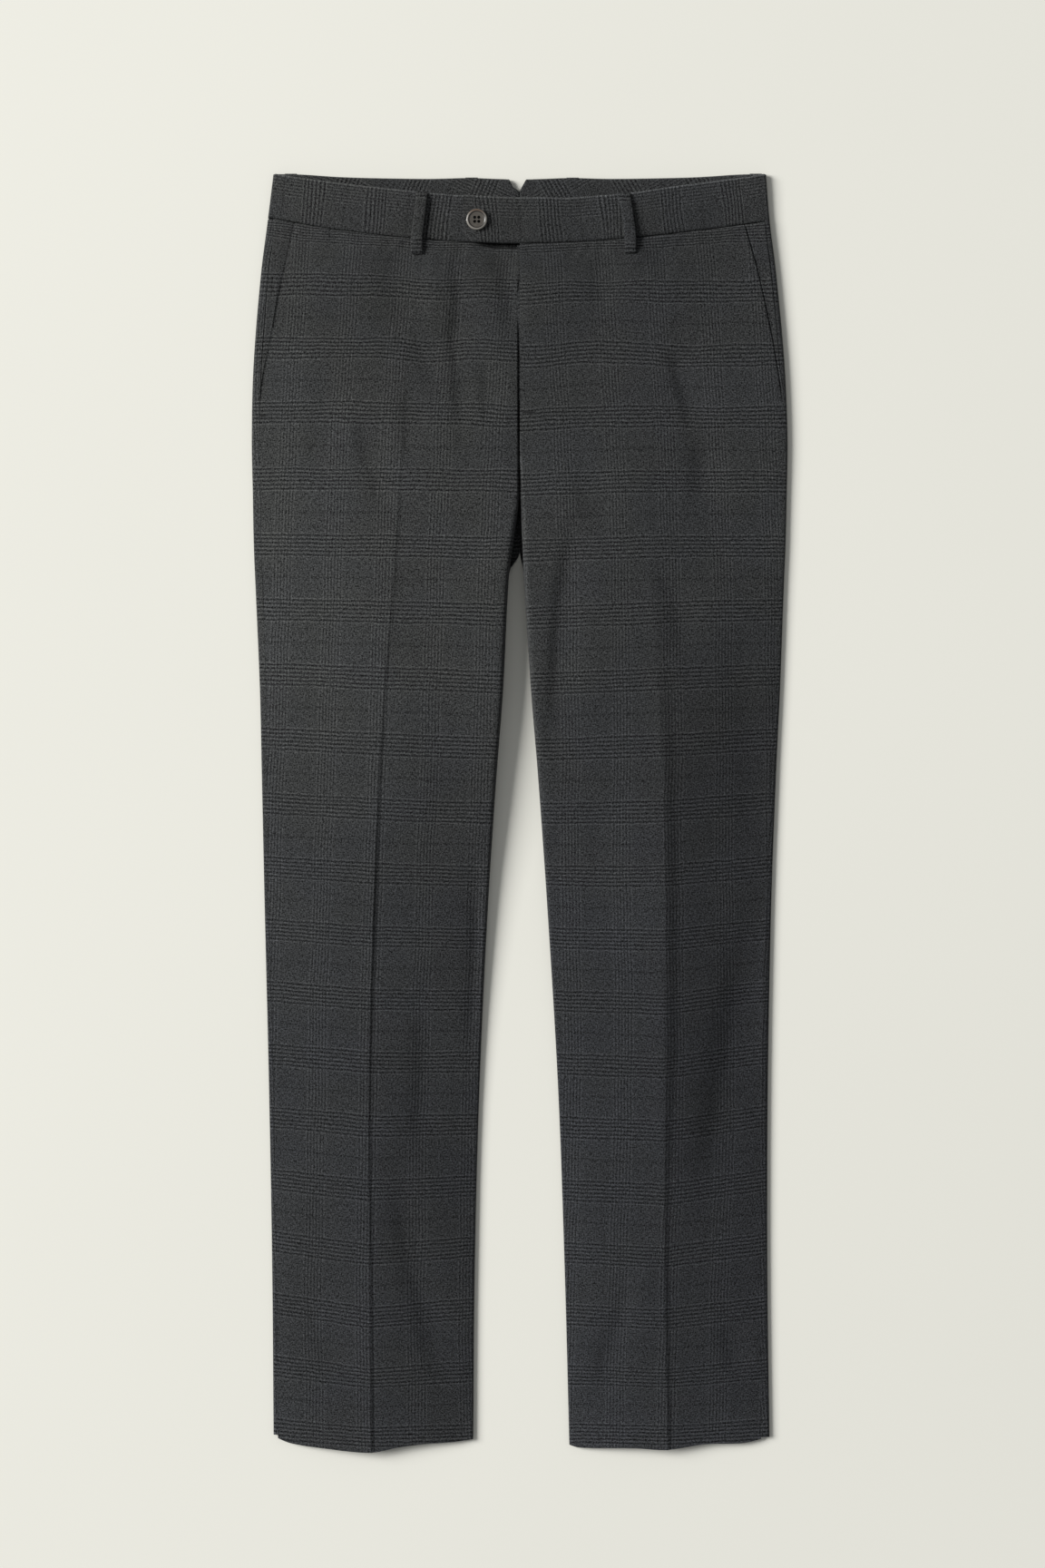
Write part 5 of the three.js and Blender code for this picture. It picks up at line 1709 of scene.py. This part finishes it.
def tube_parts(path, radius, sides):
    """Vertices and faces of a round tube along a path, drawn in at its ends."""
    direction = unit(np.gradient(path, axis=0))
    sideways = unit(np.cross(direction, np.array([0.31, 0.17, 0.93])))
    upward = np.cross(sideways, direction)
    turn = np.linspace(0, 2 * math.pi, sides, endpoint=False)
    size = np.full(len(path), radius)
    size[[0, -1]] *= 0.35
    ring = sideways[:, None] * np.cos(turn)[:, None] + upward[:, None] * np.sin(turn)[:, None]
    vertices = (path[:, None] + ring * size[:, None, None]).reshape(-1, 3)
    return vertices, ring_faces(len(path), sides, False)


def tube(name, path, radius, sides, material):
    """A round tube along a path, as a piece."""
    vertices, faces = tube_parts(path, radius, sides)
    return new_object(name, build_mesh(name, vertices, faces), material)


# ---- Stitches ------------------------------------------------------------------------


def bar_tack(x0, y0, x1, y1, width, pitch):
    """The short stitches of a bar tack, each as its two ends, across a line."""
    length = math.hypot(x1 - x0, y1 - y0)
    count = max(3, round(length / pitch))
    across = np.array([-(y1 - y0), x1 - x0]) / length * width / 2
    stitches = []
    for k in range(count):
        middle = mix(np.array([x0, y0]), np.array([x1, y1]), (k + 0.5) / count)
        lean = 0.075 * (1 if k % 2 else -1) * across[::-1] * np.array([1, -1])
        stitches.append((middle - across + lean, middle + across - lean))
    return stitches


BAR_TACKS = (
    {"leg": "right", "line": (-162, 496.2, -162, 488.4), "width": 1.5},
    {"leg": "right", "line": (-222, 338, -216, 338), "width": 1.4},
    {"leg": "left", "line": (219.5, 338.5, 225, 338.5), "width": 1.4},
    {"leg": "left", "line": (2.2, 339.5, 11.5, 339.5), "width": 1.5},
    {"leg": "right", "line": (-101.5, 484.0, -96.0, 484.0), "width": 1.2},
)


def stitched(stitches, height, radius):
    """One mesh's vertices and faces for many short stitches that follow the cloth's height."""
    vertices = []
    faces = []
    for start, end in stitches:
        t = np.linspace(0, 1, 5)[:, None]
        flat = mix(np.array(start), np.array(end), t)
        z = height(flat[:, 0], flat[:, 1]) + radius * (0.2 + 0.9 * np.sin(t[:, 0] * math.pi))
        path = np.column_stack([flat, z])
        points, sides = tube_parts(path, radius, 6)
        base = sum(len(v) for v in vertices)
        vertices.append(points)
        faces.extend(tuple(base + i for i in face) for face in sides)
    return np.vstack(vertices), faces


class ChinosStitching(bpy.types.Operator):
    """Build the bar tacks and the buttonhole"""

    bl_idname = "chinos.stitching"
    bl_label = "Stitching"

    def execute(self, context):
        sizes = context.scene.chinos_sizes
        for leg in SIDE:
            stitches = []
            for tack in BAR_TACKS:
                if tack["leg"] == leg:
                    stitches.extend(bar_tack(*tack["line"], tack["width"], STITCH_PITCH))
            vertices, faces = stitched(stitches, lambda x, y: surface_z(leg, x, y, sizes), STITCH_RADIUS)
            tacks = new_object(
                f"{leg}_bar_tacks", build_mesh("tacks", vertices, faces), material_of("sewing_thread")
            )
            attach(tacks, "root")
        at = BUTTONHOLE
        hole_y = BUTTON_Y - at["below_button"]
        purls = []
        for x in np.arange(at["from_x"], at["to_x"], at["pitch"]):
            for up in (1, -1):
                purls.append(((x, hole_y + up * 0.25), (x, hole_y + up * 1.5)))
        purls.extend(bar_tack(at["tack_x"], hole_y - 2.4, at["tack_x"], hole_y + 2.4, 1.1, 0.45))
        vertices, faces = stitched(purls, tab_height, STITCH_RADIUS)
        mesh = build_mesh("purls", vertices, faces)
        hole = new_object("buttonhole_stitches", mesh, material_of("sewing_thread"))
        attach(hole, "root")
        return {"FINISHED"}


# ---- Stage ---------------------------------------------------------------------------


FLOOR_HALF = 4.0  # metres, as all lengths of the stage
WINDOW_PLACE = (-13.25, 3.55, 8.24)
WINDOW_SIZE = 7.6
SENSOR = 36
FRAMED_LEVEL = 0.012  # the framed height is measured at this level
CAMERA_PLACE = (0.0023, 0.0247)


class ChinosStageBuild(bpy.types.Operator):
    """Build the floor, the lights and the camera"""

    bl_idname = "chinos.stage"
    bl_label = "Stage"

    def execute(self, context):
        scene = context.scene
        stage = scene.chinos_stage
        paint = Paint("pale_floor")
        tone = paint.noise(paint.place(), 1.3, 2.0).between(0.3, 0.7)
        pale = rgba(stage.floor)
        deeper = rgba([0.985 * c for c in stage.floor])
        paint.set(Base_Color=paint.blend(tone, pale, deeper), Roughness=0.9)
        paint.shader.inputs["Specular IOR Level"].default_value = 0.1
        sides = ((-1, -1), (1, -1), (1, 1), (-1, 1))
        corners = np.array([(x * FLOOR_HALF, y * FLOOR_HALF, 0) for x, y in sides]) / MM
        floor = new_object("floor", build_mesh("floor", corners, [(0, 1, 2, 3)]), paint.material)
        world = bpy.data.worlds.new("studio")
        world.use_nodes = True
        scene.world = world
        background = world.node_tree.nodes["Background"]
        background.inputs["Color"].default_value = (0.97, 0.99, 1.0, 1)
        background.inputs["Strength"].default_value = stage.sky
        self.lamp(scene, "window", WINDOW_PLACE, WINDOW_SIZE, stage.key, (1.0, 1.0, 0.99))
        camera = bpy.data.cameras.new("camera")
        camera.sensor_fit = "AUTO"
        camera.sensor_width = SENSOR
        camera.lens = SENSOR * (stage.camera_height - FRAMED_LEVEL) / stage.framed
        eye = bpy.data.objects.new("camera", camera)
        eye.location = (*CAMERA_PLACE, stage.camera_height)
        scene.collection.objects.link(eye)
        scene.camera = eye
        scene.view_settings.view_transform = "Standard"
        return {"FINISHED"}

    @staticmethod
    def lamp(scene, name, place, size, power, colour):
        light = bpy.data.lights.new(name, "AREA")
        light.size = size
        light.energy = power
        light.color = colour
        lamp = bpy.data.objects.new(name, light)
        lamp.location = place
        lamp.rotation_euler = (-lamp.location).to_track_quat("-Z", "Y").to_euler()
        scene.collection.objects.link(lamp)


# ---- Panel and registration ----------------------------------------------------------

STEPS = (
    ChinosFronts,
    ChinosBacks,
    ChinosPocketFacings,
    ChinosFlyUnderlap,
    ChinosWaistband,
    ChinosWaistbandFacings,
    ChinosBeltLoops,
    ChinosButton,
    ChinosStitching,
    ChinosStageBuild,
)


class ChinosPanel(bpy.types.Panel):
    """The chinos' settings and steps, in the sidebar"""

    bl_idname = "VIEW3D_PT_chinos"
    bl_label = "Chinos"
    bl_space_type = "VIEW_3D"
    bl_region_type = "UI"
    bl_category = "Chinos"

    def draw(self, context):
        scene = context.scene
        for group in (scene.chinos_sizes, scene.chinos_look, scene.chinos_stage):
            box = self.layout.box()
            for name in group.bl_rna.properties.keys():
                if name not in {"rna_type", "name"}:
                    box.prop(group, name)
        for step in STEPS:
            self.layout.operator(step.bl_idname)


GROUPS = {"chinos_sizes": ChinosSizes, "chinos_look": ChinosLook, "chinos_stage": ChinosStage}


def register():
    for kind in (*GROUPS.values(), *STEPS, ChinosPanel):
        bpy.utils.register_class(kind)
    for name, group in GROUPS.items():
        setattr(bpy.types.Scene, name, PointerProperty(type=group))


def unregister():
    for name in GROUPS:
        delattr(bpy.types.Scene, name)
    for kind in reversed((*GROUPS.values(), *STEPS, ChinosPanel)):
        bpy.utils.unregister_class(kind)


def main():
    """Builds everything in order."""
    register()
    for step in STEPS:
        group, name = step.bl_idname.split(".")
        getattr(getattr(bpy.ops, group), name)()


if __name__ == "__main__":
    main()
